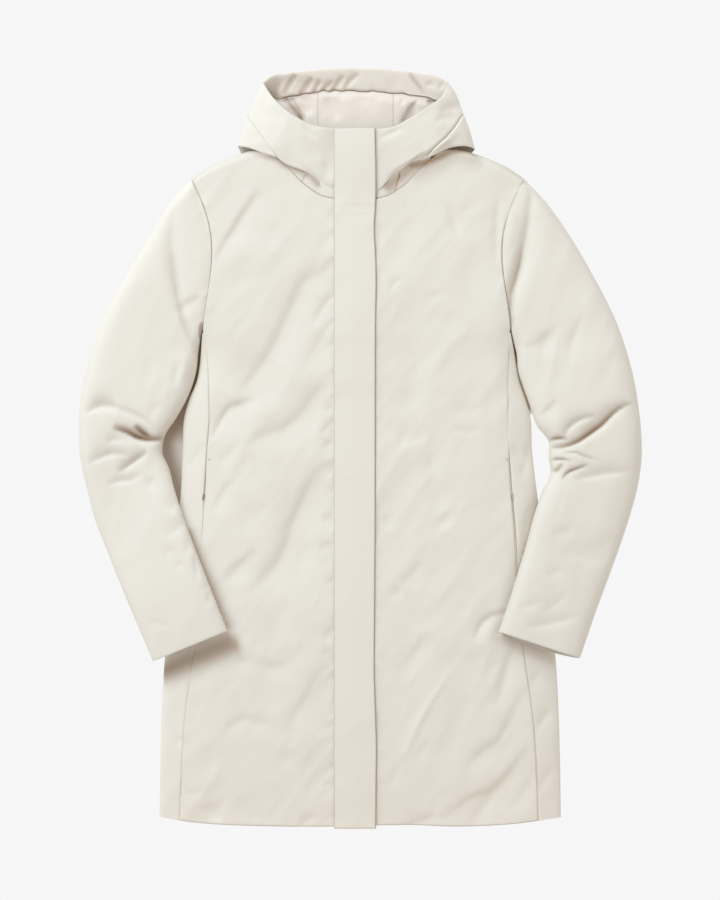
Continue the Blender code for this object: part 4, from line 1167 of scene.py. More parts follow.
# %% Creases of the sleeves
SLEEVE_FOLDS = {
    -1: [
        Fold(3.4, 9.1, 0, 0.3, [(-241, 315), (-243, 278), (-242, 243), (-238, 213), (-233, 188)]),
        Fold(2.6, 6, 0, 0.55, [(-243, 258), (-239, 219), (-234, 187), (-227, 160), (-218, 139), (-209, 124)]),
        Fold(1.4, 5.2, 0.3, 0.6, [(-232, 188), (-220, 191), (-207, 198)]),
        Fold(1.2, 7.8, 0, 0.3, [(-232, 190), (-225, 173)]),
        Fold(1.6, 5.2, 0, 0.4, [(-218, 344), (-208, 316), (-201, 291), (-195, 264)]),
        Fold(1, 11.7, 0, 0.2, [(-239, 144), (-247, 124), (-255, 95)]),
        Fold(1.4, 6.5, 0, 0.4, [(-234, 114), (-238, 99), (-241, 81)]),
        Fold(0.8, 7.8, 0, 0.2, [(-274, 118), (-274, 83)]),
        Fold(0.7, 5.3, 0, 0.3, [(-258, 61), (-268, 48), (-276, 38)]),
        Fold(-1.2, 6.5, 0, 0.2, [(-226, 125), (-229, 102), (-234, 84)]),
        Fold(0.6, 2.6, 0, 0.6, [(-220, 243), (-209, 223)]),
        Fold(3, 5.9, 0.3, 0.58, [(-315, 54), (-330, 56), (-345, 53), (-358, 44)]),
        Fold(1.8, 4.9, 0, 0.5, [(-263, 20), (-276, 34), (-292, 44), (-310, 50), (-331, 55)]),
        Fold(1.6, 9.6, 0, 0.2, [(-313, 50), (-333, 56), (-350, 50)]),
        Fold(5.2, 5.8, 0.25, 0.8, [(-252, 12), (-273, 11), (-289, 14), (-303, 21), (-321, 27)]),
        Fold(2.3, 2.3, 0.2, 0.9, [(-273, 9), (-286, 12), (-301, 17), (-316, 23)]),
        Fold(4.4, 5.8, 0, 0.8, [(-269, 10), (-283, 21), (-293, 30)]),
        Fold(2.1, 5.3, 0.3, 0.55, [(-297, 8), (-312, 12), (-330, 8)]),
        Fold(2.5, 4.9, 0.3, 0.64, [(-299, -8), (-322, -7), (-340, -13), (-354, -20)]),
        Fold(3.4, 5.3, 0.3, 0.68, [(-275, -4), (-288, -13), (-301, -22), (-313, -31)]),
        Fold(1.8, 4.3, 0.2, 0.6, [(-282, -33), (-298, -41), (-314, -43), (-330, -49)]),
        Fold(1.3, 6.4, 0, 0.4, [(-270, -36), (-274, -57)]),
        Fold(1.6, 6.5, 0.3, 0.5, [(-231, -67), (-239, -73), (-247, -84)]),
        Fold(1.6, 6.5, 0.3, 0.5, [(-224, -94), (-237, -105), (-252, -114)]),
        Fold(0.8, 6.5, 0, 0.4, [(-244, -127), (-253, -142)]),
        Fold(1, 5.2, 0, 0.5, [(-229, -119), (-222, -127), (-227, -136)]),
        Fold(0.8, 5.2, 0, 0.4, [(-230, -147), (-240, -157)]),
        Fold(1.2, 4.5, 0, 0.5, [(-215, -140), (-212, -155), (-210, -173)]),
        Fold(1, 3.9, 0, 0.5, [(-204, -181), (-192, -178)]),
        Fold(1.2, 5.2, 0, 0.5, [(-197, -186), (-192, -204)]),
        Fold(0.7, 5.2, 0, 0.4, [(-274, -222), (-261, -227), (-245, -228)]),
        Fold(0.7, 10.4, 0, 0.1, [(-312, -92), (-299, -144)]),
    ],
    1: [
        Fold(5.2, 7.2, 0, 0.42, [
            (222, 349), (221, 315), (217, 286), (211, 255), (203, 225), (196, 202), (195, 181), (198, 157),
            (206, 126),
        ]),
        Fold(3, 5.2, 0, 0.6, [(211, 265), (207, 242), (201, 218), (196, 198), (194, 177)]),
        Fold(2.2, 13, 0, 0.2, [(226, 302), (219, 263), (208, 224), (203, 192)]),
        Fold(-1.2, 6.5, 0, 0.2, [(203, 317), (197, 291), (192, 258)]),
        Fold(1.2, 5.5, 0.4, 0.5, [(205, 132), (226, 135), (241, 145), (251, 154), (265, 163)]),
        Fold(1.4, 10.4, 0, 0.2, [(233, 122), (242, 135), (252, 148)]),
        Fold(1.8, 6.5, 0.3, 0.4, [(274, 112), (274, 134), (280, 153), (291, 176)]),
        Fold(1.6, 4.3, 0.3, 0.5, [(234, 43), (245, 52), (254, 64)]),
        Fold(-0.8, 6.5, 0, 0.2, [(253, 144), (248, 102), (238, 63)]),
        Fold(0.8, 9.1, 0, 0.2, [(329, 127), (321, 106), (318, 83)]),
        Fold(4.8, 4.7, 0.35, 0.77, [
            (353, 58), (339, 53), (327, 44), (314, 31), (298, 19), (281, 8), (263, 2), (246, 1),
        ]),
        Fold(2.1, 9.6, 0, 0.2, [(349, 60), (320, 45), (303, 30), (285, 14)]),
        Fold(3, 4.5, 0.3, 0.68, [(306, 42), (287, 38), (275, 31), (266, 20), (265, 11)]),
        Fold(3.7, 3.7, 0, 0.7, [(242, 9), (255, 13), (270, 12)]),
        Fold(2, 2.3, 0, 0.8, [(261, -6), (280, -6), (296, -12), (312, -16)]),
        Fold(2.8, 2.8, 0, 0.8, [(241, -17), (256, -14), (274, -16)]),
        Fold(3, 3.6, 0, 0.7, [(242, -25), (254, -29), (263, -19)]),
        Fold(3.1, 3.2, 0, 0.8, [(260, -40), (271, -30), (281, -26), (296, -21)]),
        Fold(2.5, 5.3, 0.3, 0.55, [(351, -30), (320, -32), (299, -36), (277, -40)]),
        Fold(1.2, 7.8, 0, 0.3, [(277, -102), (261, -110), (247, -112)]),
        Fold(1.6, 9.1, 0.2, 0.3, [(325, -133), (307, -144), (283, -138), (259, -134)]),
        Fold(1.2, 10.4, 0, 0.2, [(331, -113), (312, -127), (292, -132)]),
        Fold(0.9, 6.5, 0, 0.3, [(263, -158), (241, -165)]),
        Fold(1, 6.5, 0, 0.3, [(237, -197), (217, -204), (203, -208)]),
        Fold(1.5, 5.9, 0.2, 0.5, [(285, -217), (263, -223), (241, -228), (213, -233)]),
        Fold(0.9, 6.5, 0, 0.3, [(270, -187), (252, -202), (236, -215)]),
    ],
}

# %% The sleeves themselves
SLEEVE_STEP = 2.4
TOP_COUNT = 76
FOOT_TURN = np.radians(np.linspace(0, 90, 8)[1:])
FOOT_PARTS = np.linspace(0, 1, 8)[1:-1]
UNDER_COUNT = 2 * len(FOOT_TURN) + len(FOOT_PARTS)
RING_START = TOP_COUNT + len(FOOT_TURN) + len(FOOT_PARTS) // 2  # in the middle of the foot
TOP_WEIGHT = np.r_[np.clip(2.2 * np.sin(np.linspace(0, np.pi, TOP_COUNT)), 0, 1), np.zeros(UNDER_COUNT)]
SLEEVE_FULLNESS = {-1: 7.0, 1: 5.0}
CUFF_UNDER = {-1: 0.0, 1: 5.0}  # how far the under side of a cuff shows below its top
CUFF_DEPTH = 0.8  # how far its edge turns down
ARMHOLE_DEPTH = {  # how deep the armhole's seam sits, from the underarm to the shoulder
    -1: curve([0, 0.22, 0.45, 1], [0.05, 0.15, 0.9, 0.9]),
    1: curve([0, 0.25, 0.72, 0.88, 1], [0.5, 0.9, 0.9, 0.15, 0.5]),
}
BOW_REACH = 60.0  # the armhole's curve is gone this far down the sleeve
OWN_FROM = 25.0  # nearer the armhole than this, a sleeve lies more and more as the front does
SETTLE = 1.1  # a forearm lies on the flattened body, so a little higher than on the solid
FREE_INSIDE = 1.5  # the inner skin follows only what is deeper than this in the outer one
UnderarmShade = namedtuple("UnderarmShade", "x y half long shade")
UNDERARM_SHADE = UnderarmShade(-205.6, 151.0, 4.6, 14.0, 0.55)  # painted shade in a small dark spot at the right underarm
FOREARM_SHADE = 0.12  # on the inner side of the left forearm, which is in the body's shade
FOREARM_FROM = (240.0, 300.0)  # down the sleeve


def sleeve_ring(half, crown, cut, fullness):
    """Places round a ring, across from its middle and up: over the top, then along the flat foot."""
    around = np.linspace(0, np.pi, TOP_COUNT)
    radius, flat = FOLD - cut, half - FOLD
    turned_x, turned_z = flat + radius * np.cos(FOOT_TURN), FOLD - radius * np.sin(FOOT_TURN) + 0 * half
    foot_x, foot_z = -flat * (1 - 2 * FOOT_PARTS), cut + 0 * half * FOOT_PARTS
    across = [(half - cut) * np.cos(around), -turned_x, foot_x, turned_x[:, ::-1]]
    up = [pillow(np.cos(around), crown - cut, FOLD, fullness), turned_z, foot_z, turned_z[:, ::-1]]
    return np.hstack(across), np.hstack(up)


def sleeve_relief(x, y, stops, side):
    """The folds and the unevenness of a sleeve. At the armhole it lies as the front does."""
    own = ramp(stops, 0, OWN_FROM)[:, None]
    lies = own * 0.7 * lie(x, y, 61 + side, 75) + (1 - own) * lie(x, y, 11 + side)
    gathers = puckers(x, y, armhole(side, np.linspace(0, 1, 12)), 0.5, 9, 12, 71 + side)
    return pressed(x, y, SLEEVE_FOLDS[side]) + lies + gathers


def sleeve_shade(x, y, stops, from_inside, side):
    """How much shade is painted on a sleeve away from its seams: in its creases, and where little light gets
    in.
    """
    dark = painted_crease_shade(x, y, SLEEVE_FOLDS[side]) * TOP_WEIGHT
    if side < 0:
        off = np.hypot((x - UNDERARM_SHADE.x) / UNDERARM_SHADE.half, (y - UNDERARM_SHADE.y) / UNDERARM_SHADE.long)
        return np.maximum(dark, UNDERARM_SHADE.shade * (1 - ramp(off, 0.75, 1.1)))
    return np.maximum(dark, FOREARM_SHADE * bell(from_inside, 4) * ramp(stops, *FOREARM_FROM)[:, None])


def sleeve(side):
    table = np.array(SLEEVES[side], float)
    centre = (table[:, 0:2] + table[:, 2:4]) / 2
    along = lengths(centre)
    stops = stations(along[-1], SLEEVE_STEP) * along[-1]
    rows = curve(along, table)(stops)
    start, end = rows[:, None, 0:2], rows[:, None, 2:4]
    in_lift, out_lift, crown = (rows[:, k][:, None] for k in (4, 5, 6))
    width = np.linalg.norm(end - start, axis=2)
    down_arm = (centre[-1] - centre[-2]) / np.linalg.norm(centre[-1] - centre[-2])
    at_armhole = (1 - ramp(stops, 0, BOW_REACH))[:, None]
    at_cuff = ramp(stops, stops[-1] - 30, stops[-1])[:, None]
    skins = []
    for cut in (0.0, WALL):
        across, up = sleeve_ring(width / 2, crown, cut, SLEEVE_FULLNESS[side])
        part = 0.5 + across / width
        inside = np.clip(part, 0, 1)
        bow = ARMHOLE_BOW[side] * np.sin(np.pi * inside**ARMHOLE_SKEW)
        under = np.sin(np.pi * inside) ** 0.7 * CUFF_UNDER[side] * at_cuff
        under[:, :TOP_COUNT] = 0
        grid = start + (end - start) * part[..., None] + under[..., None] * down_arm
        grid[..., 0] -= side * (bow * at_armhole - SEAM_GAP / 2)
        x, y = axes(grid)
        if cut == 0:
            at_seam = ARMHOLE_DEPTH[side](inside) * tucked(stops)[:, None]
            fall = at_seam + CUFF_DEPTH * tucked(stops[-1] - stops)[:, None]
            change = (sleeve_relief(x, y, stops, side) - fall) * TOP_WEIGHT
            dark = sleeve_shade(x, y, stops, part * width, side)
        else:
            change = np.minimum(change + FREE_INSIDE, 0)
        lift = SETTLE * (in_lift + (out_lift - in_lift) * part)
        seam_z = body_height(*axes(armhole(side, part))) - cut
        own_z = pillow(2 * inside - 1, table[0, 6] - cut, FOLD, SLEEVE_FULLNESS[side])
        skins.append(with_height(grid, up + lift + change + (seam_z - own_z) * at_armhole * TOP_WEIGHT))
    # painted shade in the armhole seam, in the creases and where little light gets in
    near = np.maximum(SEAM_PAINTED_SHADE * bell(stops, SEAM_SPREAD)[:, None] * ARMHOLE_DEPTH[side](inside), dark)
    outer, inner, near = (np.roll(values, -RING_START, axis=1) for values in (*skins, near))
    return piece(f"sleeve_{WORDS[side]}", "shell", outer, inner, near, closed=True)


for side in (-1, 1):
    sleeve(side)

# %% [markdown]
# ## The back
# The back lies under everything, flat on the floor, and turns up a little along the shoulders to meet the
# fronts.

# %% The back
BACK_STEP = 7.0
NECK_DIP = 14.0  # how far the back's edge dips at the neck


def back_neck_y(x):
    return SHOULDER[0][1] - NECK_DIP * (1 - np.clip(np.abs(x - MIDDLE_X) / NECK_HALF, 0, 1) ** 2)


def back_head():
    tips = [armhole(side, 1.0) for side in (-1, 1)]
    x = np.linspace(tips[0][0], tips[1][0], 120)
    out = np.abs(x - MIDDLE_X)
    return places(x, np.where(out < NECK_HALF, back_neck_y(x), SHOULDER_AT(out)))


def back():
    edges = {}
    for side in (-1, 1):
        edge = side_edge(side)
        edge[:, 0] = FOLD_AT[side](edge[:, 1]) - side * SIDE_BACK
        edge[0, 1] = HEM_AT(edge[0, 0])
        edges[side] = np.vstack([edge, armhole(side, np.linspace(0, 1, 40))])
    foot_x = np.linspace(edges[-1][0, 0], edges[1][0, 0], 60)
    grid = patch(places(foot_x, HEM_AT(foot_x)), back_head(), edges[-1], edges[1], BACK_STEP)
    x, y = axes(grid)
    out = np.abs(x - MIDDLE_X)
    rise = (FOLD - WALL) * (1 - rounded(SHOULDER_AT(out) - y))
    under = with_height(grid, np.where(out < NECK_HALF - 1, 0, rise))
    _, near = turned_down(grid, (0, 1, 1, 1))
    return piece("back", "shell", under, under + [0, 0, WALL], near)


back()

# %% [markdown]
# ## The hood
# The hood is laid down with its opening up. Its two fronts cross in front of the neck and hang over the
# short collar. A diagonal seam joins a corner panel to each of them. Behind the opening, a band of the
# shell faces the brim, and the lining shows below it.

# %% Folds of the hood
HOOD_FOLDS = {
    -1: [
        Fold(1.2, 3.2, 0, 0.6, [(-75, 426), (-69, 413), (-55, 401)]),
        Fold(1, 6.5, 0, 0.3, [(-73, 404), (-63, 388), (-52, 370)]),
        Fold(2.6, 14.3, 0, 0.1, [(-31, 415), (-37, 386), (-43, 363), (-49, 345)]),
        Fold(1, 7.8, 0, 0.2, [(-133, 434), (-118, 433), (-94, 430)]),
        Fold(0.9, 3.9, 0, 0.5, [(-50, 373), (-41, 362), (-38, 352)]),
    ],
    1: [
        Fold(1.3, 4.5, 0, 0.4, [(25, 401), (41, 408), (58, 417)]),
        Fold(2.4, 7.8, 0, 0.3, [(102, 439), (120, 442), (138, 445)]),
        Fold(1.8, 6.5, 0, 0.3, [(97, 425), (114, 429), (132, 430)]),
        Fold(1.2, 5.2, 0, 0.4, [(111, 473), (107, 465), (101, 455)]),
        Fold(1.6, 7.8, 0, 0.2, [(59, 359), (47, 351), (35, 345)]),
        Fold(1, 9.1, 0, 0.1, [(79, 426), (89, 436), (98, 441)]),
    ],
}

# %% The collar
HOOD_STEP = 2.0
COLLAR_JOINS = {-1: [(-70.5, 355.6), (-77, 344)], 1: [(51.7, 357), (45, 335)]}
COLLAR_OUT = (99.0, 6.0)  # how far out from the zip it starts and ends
COLLAR_UNDER = 9.0  # how far it reaches under the hood
COLLAR_SUNK = 1.4
COLLAR_TOP_Y = 360.0  # it is no higher above this than here
JOIN_DEPTH = 0.5


def collar(side):
    """Half of the short collar, from the neckline up to just under the hood's lower edge."""
    outs = np.linspace(*COLLAR_OUT, 80)
    foot = places(ZIP_X + side * outs, NECKLINE_AT(outs))
    hang = soft(HOOD_FOOT[side])
    hang = hang[np.argsort(np.abs(hang[:, 0] - ZIP_X))]
    hang_y = np.interp(outs, np.abs(hang[:, 0] - ZIP_X), hang[:, 1])
    reach = places(foot[:, 0], np.maximum(hang_y, foot[:, 1] + 4) + COLLAR_UNDER)
    ends = [np.array([foot[i], reach[i]]) for i in (0, -1)]
    grid = patch(foot, reach, *ends, HOOD_STEP)
    drop, near = turned_down(grid, (0.7, 0, 0, 0))
    x, y = axes(grid)
    from_join, _ = across_path(x, y, COLLAR_JOINS[side])
    join = JOIN_DEPTH * bell(from_join, SEAM_SPREAD)
    # painted shade in the collar's short seams, and the painted shadow of the hood
    near = np.maximum(near, in_shade(x, y, side)) + join
    skin = with_height(grid, body_height(x, np.minimum(y, COLLAR_TOP_Y)) - COLLAR_SUNK - drop - join)
    return piece(f"collar_{WORDS[side]}", "shell", skin, down(skin), near)

# %% The fronts and the corners of the hood
HOOD_THIN = 2.0  # the wall at the lower edge
THIN_REACH = 14.0
SINK_REACH = 22.0
SEAM_TROUGH = {-1: 0.0, 1: 2.2}  # how deep the diagonal seam pulls the cloth in on both sides
TROUGH_REACH = 5.0
HOOD_SEAM_DEPTH = {-1: 0.3, 1: 0.9}  # how deep its stitching sits
HOOD_SEAM_FROM = (440.0, 425.0)  # where the diagonal seam starts, and where it is full
OWN_OUTLINE_Y = 431.0  # above this a hood front has an outline of its own
TIP_FROM = (135.0, 112.0)  # further out than this the outline itself is low already


def sunk(x, from_foot, side):
    """How far the hood is below its own form, and its wall, at a distance from its lower edge."""
    sink = 0.8 + 4.5 * ramp(x, -78, -45) if side < 0 else 1.0 + 3.5 * ramp(x, 30, 75)
    fall = sink * (1 - ramp(from_foot, 0, SINK_REACH)) + 3.0 * (1 - rounded(from_foot, 4))
    return fall, HOOD_THIN + (WALL - HOOD_THIN) * ramp(from_foot, 0, THIN_REACH)


def hood_gathers(x, y, from_seam, side, seed):
    """What the diagonal seam does to the cloth beside it: gathers, and on one side a trough."""
    gathers = puckers(x, y, soft(HOOD_SEAM[side]), 0.6, 7, 8, seed + side)
    return gathers, SEAM_TROUGH[side] * bell(from_seam, TROUGH_REACH)


def hood_piece(node, grid, height, near, wall):
    skin = with_height(grid, height)
    back = with_height(grid, height - wall)
    return piece(node, "shell", skin, back, near)


def hood_front(side):
    edge = np.vstack([soft(OUTLINE[side]), soft(HOOD_SEAM[side])[1:]])
    top, foot = soft(OPENING[side]), soft(HOOD_FOOT[side])
    grid = patch(top, foot, edge, np.array([top[-1], foot[-1]]), HOOD_STEP)
    x, y = axes(grid)
    _, from_foot, from_edge, _ = edge_distances(grid)
    in_seam = ramp(y, *HOOD_SEAM_FROM)
    drop, near = turned_down(grid, (1.2, 0, HOOD_SEAM_DEPTH[side] * in_seam, 0))
    fall, wall = sunk(x, from_foot, side)
    gathers, trough = hood_gathers(x, y, from_edge, side, 85)
    relief = pressed(x, y, HOOD_FOLDS[side]) + 0.8 * lie(x, y, 81 + side) + gathers - trough * in_seam
    relief = relief * clear_of_flap(x, relief) * rounded(np.where(y > OWN_OUTLINE_Y, from_edge, 12), 12)
    return hood_piece(f"hood_front_{WORDS[side]}", grid, hood_height(x, y) + relief - drop - fall, near, wall)


def hood_side(side):
    outer, seam = soft(CORNER[side])[1:], soft(HOOD_SEAM[side])[1:]
    grid = patch(np.linspace(outer[0], seam[0], 4), soft(CORNER_FOOT[side]), outer, seam, HOOD_STEP)
    x, y = axes(grid)
    _, from_foot, from_outline, from_seam = edge_distances(grid)
    drop, near = turned_down(grid, (0, 0, 0, HOOD_SEAM_DEPTH[side]))
    fall, wall = sunk(x, from_foot, side)
    fall = fall * (0.35 + 0.65 * ramp(np.abs(x), *TIP_FROM))
    gathers, trough = hood_gathers(x, y, from_seam, side, 95)
    relief = (0.7 * lie(x, y, 91 + side) + gathers - trough) * rounded(from_outline, 12)
    return hood_piece(f"hood_side_{WORDS[side]}", grid, hood_height(x, y) + relief - drop - fall, near, wall)


for side in (-1, 1):
    hood_front(side)
    hood_side(side)
    collar(side)

# %% [markdown]
# The hood's back is the mirror of its front, pressed flat on the floor. The facing is gathered onto the
# brim, which leaves slanting puckers, and the lining bunches up in the two corners of the opening.

# %% The back of the hood
HOOD_BACK_STEP = 4.0
HOOD_BACK_SHADE = {-1: 0.0, 1: 0.5}  # under the hood's fronts
BRIM_LINE = soft(BRIM, 160)
FACING_LINE = soft(FACING_SEAM, 160)
FACING_LINE[:, 1] += 1.1 * unevenness(FACING_LINE[:, 0], 0, 8, 140)  # gathered, so a little scalloped


def hood_back():
    sides = {side: SIDE_LINE[side][::-1] for side in (-1, 1)}
    corners = [sides[side][0] for side in (-1, 1)]
    x = np.linspace(corners[0][0], corners[1][0], 80)
    foot = places(x, np.interp(x, *back_head().T) + 0.5)
    foot[0], foot[-1] = corners
    grid = patch(foot, BRIM_LINE, sides[-1], sides[1], HOOD_BACK_STEP)
    x, y = axes(grid)
    inward = np.minimum(outline_half(x, y) - np.abs(x), np.interp(x, *BRIM_LINE.T) - y)
    under = with_height(grid, (FOLD - WALL) * (1 - rounded(inward)))
    _, near = turned_down(grid, (0, 1, 1, 1))
    from_foot = edge_distances(grid)[0]
    shade = np.where(x < 0, HOOD_BACK_SHADE[-1], HOOD_BACK_SHADE[1]) * (1 - ramp(from_foot, 12, 22))
    return piece("hood_back", "shell", under, under + [0, 0, WALL], np.maximum(near, shade))


hood_back()

# %% The facing
FACING_STEP = 1.8
FACING_WIDE = 28.0  # about as wide as this at its middle
FACING_TOP, FACING_FALL = 12.5, 4.5  # its height at the brim, and how far it falls from there
BRIM_BULGE = 2.0
FACING_POCKET = (14.0, 28.0)  # from its right end: sunk in up to the first, and not past the second
POCKET_SINK = 5.0
FACING_SHADE = 0.9  # it gets no darker than this
FACING_FOLDS = [
    Fold(2.6, 4.9, 0.3, 0.8, [(-82, 486), (-90, 474), (-99, 460)]),
    Fold(2.6, 4.9, 0.3, 0.8, [(-61, 482), (-69, 470), (-79, 457)]),
    Fold(2, 4.2, 0.3, 0.8, [(-51, 480), (-56, 469), (-61, 460)]),
    Fold(2, 4.2, 0.3, 0.8, [(-34, 478), (-43, 470), (-51, 461)]),
    Fold(2.2, 4.2, 0.3, 0.8, [(-21, 485), (-29, 473), (-38, 462)]),
    Fold(2, 4.2, 0.3, 0.8, [(-1, 487), (-11, 479), (-21, 466)]),
    Fold(1.2, 7, 0, 0.4, [(-73, 483), (-81, 472), (-88, 462)]),
    Fold(0.9, 10.5, 0, 0.3, [(50, 479), (41, 470), (28, 462)]),
    Fold(1.8, 3.2, 0, 0.8, [(64, 490), (69, 480), (77, 470), (84, 460)]),
    Fold(1.2, 4.4, 0, 0.7, [(84, 472), (92, 473), (98, 469)]),
    Fold(1.2, 4.4, 0, 0.6, [(109, 478), (106, 472), (106, 465)]),
    Fold(1.4, 5.3, 0, 0.5, [(-97, 482), (-103, 473), (-108, 464)]),
]


def facing():
    sides = [np.array([FACING_LINE[i], BRIM_LINE[i]]) for i in (0, -1)]
    grid = patch(FACING_LINE, BRIM_LINE, *sides, FACING_STEP)
    x, y = axes(grid)
    from_brim = np.interp(x, *BRIM_LINE.T) - y
    depth = np.clip(from_brim / FACING_WIDE, 0, 1)
    height = FACING_TOP + BRIM_BULGE * rounded(from_brim, 4) - FACING_FALL * depth
    drop, near = turned_down(grid, (2.2 * (1 - ramp(x, 48, 66)), 0, 0, 0), 1.8)
    corner = 1 - ramp(x - BRIM_LINE[0, 0], *FACING_POCKET)
    # painted shade on the facing: in the sunk corner at its right end, towards its seam on the right half,
    # and at the bottom of its sharp creases
    painted_shade_right_side = 0.08 * (1 - ramp(x, -100, -5)) * ramp(depth, 0.2, 0.9)
    creases = np.clip(2.2 * painted_crease_shade(x, y, FACING_FOLDS), 0, 0.3)
    near = np.maximum(near, (0.26 + 0.25 * depth) * corner) + painted_shade_right_side + creases
    relief = pressed(x, y, FACING_FOLDS) + puckers(x, y, FACING_LINE[::12], 1.0, 9, 8, 101, 0.9)
    skin = with_height(grid, height + relief * rounded(from_brim, 6) - drop - POCKET_SINK * corner * depth)
    near = np.clip(near, 0, FACING_SHADE)
    return piece(
        "hood_facing", "shell", skin, down(skin), near, material=SHELL_WITH_PAINTED_BOUNCE
    )


facing()

# %% The lining
LINING_STEP = 1.8
LINING_TOP, LINING_RISE = 7.4, 4.0  # its height at the facing, and how far it rises below that
LINING_FOLDS = [
    Fold(5.1, 3.6, 0, 0.9, [(-83, 440), (-78, 431), (-73, 422)]),
    Fold(3.7, 4.7, 0.4, 0.8, [(-98, 457), (-90, 448), (-82, 438), (-73, 425)]),
    Fold(2.9, 4, 0.4, 0.8, [(-89, 456), (-81, 444), (-71, 427)]),
    Fold(1.8, 7.3, 0, 0.4, [(-75, 457), (-70, 446), (-64, 433)]),
    Fold(1.3, 9.1, 0, 0.3, [(-42, 457), (-36, 444), (-27, 427)]),
    Fold(2.6, 5.5, -0.3, 0.7, [(69, 451), (65, 440), (59, 430), (52, 419)]),
    Fold(1.5, 4, 0, 0.7, [(75, 454), (69, 443), (63, 433)]),
    Fold(1.1, 3.6, 0, 0.7, [(52, 453), (57, 448)]),
    Fold(0.9, 4.5, 0.6, 0.7, [(-78, 453), (-39, 454), (-20, 455)]),
    Fold(0.9, 4.5, 0.6, 0.7, [(-11, 454), (26, 454)]),
    Fold(2.6, 4, 0, 0.8, [(87, 452), (95, 451), (104, 452)]),
    Fold(2.2, 4.5, 0, 0.7, [(100, 448), (93, 441), (85, 436)]),
]


def lining(word, low_x, high_x):
    x = np.linspace(low_x, high_x, 40)
    foot = places(x, curve(*zip(*LINING_FOOT))(x))
    head = places(x, np.interp(x, *FACING_LINE.T) - 0.6)
    ends = [np.array([foot[i], head[i]]) for i in (0, -1)]
    grid = patch(foot, head, *ends, LINING_STEP)
    x, y = axes(grid)
    drop, near = turned_down(grid, (0, 0.5, 0.25, 0.25))
    relief = np.clip(1.4 * pressed(x, y, LINING_FOLDS) + 0.8 * lie(x, y, 111), -4.5, 4)
    below = np.interp(x, *FACING_LINE.T) - y
    height = LINING_TOP + LINING_RISE * ramp(below, 0, 14) + relief * ramp(below, 0, 4)
    skin = with_height(grid, height - drop)
    # painted shade at the bottom of the lining's sharp creases
    near = np.maximum(near, painted_crease_shade(x, y, LINING_FOLDS))
    return piece(
        f"hood_lining_{word}", "lining", skin, down(skin, LINING_WALL), near
    )


cuts = [LINING_FOOT[0][0], *LINING_CUTS, LINING_FOOT[-1][0]]
for word, low_x, high_x in zip(("right", "centre", "left"), cuts[:-1], cuts[1:]):
    lining(word, low_x, high_x)

# %% [markdown]
# ## The front closure
# A storm flap covers the zip. It is sewn down along one side and free along the other, so it is thin at its
# seam and thick and round at its free edge, which lifts slightly here and there. It is made from what it
# lies on, moved up.

# %% The storm flap
FLAP_EDGE = [
    (-494, 20.4), (-420, 21), (-395, 21.4), (-357, 20.5), (-300, 18.6), (-223, 18.8),
    (-100, 19.6), (150, 20), (240, 20.6), (285, 18.6), (325, 20.4), (415, 19.6),
]
FLAP_WALL = 2.6
FLAP_THIN = 1.4  # at its seam
FLAP_STEP = 2.4  # across the flap
FLAP_CLEAR = 0.5  # between the flap and what it lies on
FLAP_LIFT = (0.1, 1.0)  # how far the free edge lifts, below the join and at the top
JOIN_DROP, END_DROP = 0.12, 0.8  # how far the flap turns down at the join of its parts, and at its ends


def flap(node, foot_y, head_y):
    edge_at = curve(*zip(*FLAP_EDGE))
    y = (foot_y + stations(head_y - foot_y, STEP) * (head_y - foot_y))[:, None]
    u = stations(FLAP_LEFT - FLAP_RIGHT, FLAP_STEP)
    x = FLAP_RIGHT + SEAM_GAP / 2 + (edge_at(y) - FLAP_RIGHT - SEAM_GAP) * u
    grid = places(x, y)
    from_seam = x - FLAP_RIGHT
    thickness = FLAP_THIN + (FLAP_WALL - FLAP_THIN) * ramp(from_seam, 0, 26)
    lift = FLAP_LIFT[0] + (FLAP_LIFT[1] - FLAP_LIFT[0]) * ramp(y, FLAP_JOIN_Y, FLAP_JOIN_Y + 70)
    under = centre_height(x, y) + FLAP_CLEAR + lift * ramp(from_seam, 10, 50)
    ends = (JOIN_DROP, END_DROP) if foot_y == FLAP_JOIN_Y else (END_DROP, JOIN_DROP)
    drop, near = turned_down(grid, (*ends, 1.0, 1.4), 0.8)
    # painted shadow along the flap's free edge
    near = np.maximum(near, bell(x - edge_at(y), 0.7))
    seam = [(FLAP_RIGHT, foot_y), (FLAP_RIGHT, head_y)]
    relief = np.clip(0.5 * lie(*axes(grid), 121) + puckers(*axes(grid), seam, 0.25, 7, 10, 131), -0.4, 0.8)
    skin = with_height(grid, under + thickness + relief - np.minimum(drop, thickness - 0.5))
    return piece(node, "shell", skin, with_height(grid, under), near)


flap("placket_lower", FLAP_FOOT_Y, FLAP_JOIN_Y)
flap("placket_upper", FLAP_JOIN_Y, FLAP_TOP_Y)

# %% [markdown]
# ## Floor, light and camera
# The coat is seen from straight above through a long lens, so its outline hardly changes with height. The
# floor is a white sweep that glows evenly, with shadow painted into it in the gaps between the arms and
# the body. One broad soft light comes from the upper left, and a warm, even light fills in.

# %% Floor
FLOOR_HALF, FLOOR_Z = 6.0, -0.0006  # metres
GAP_TONES = [  # the shade between an arm and the body, from none to full
    (0.0, (0.925, 0.925, 0.925)),
    (0.45, (0.50, 0.44, 0.385)),
    (0.75, (0.23, 0.17, 0.125)),
    (1.0, (0.085, 0.055, 0.035)),
]


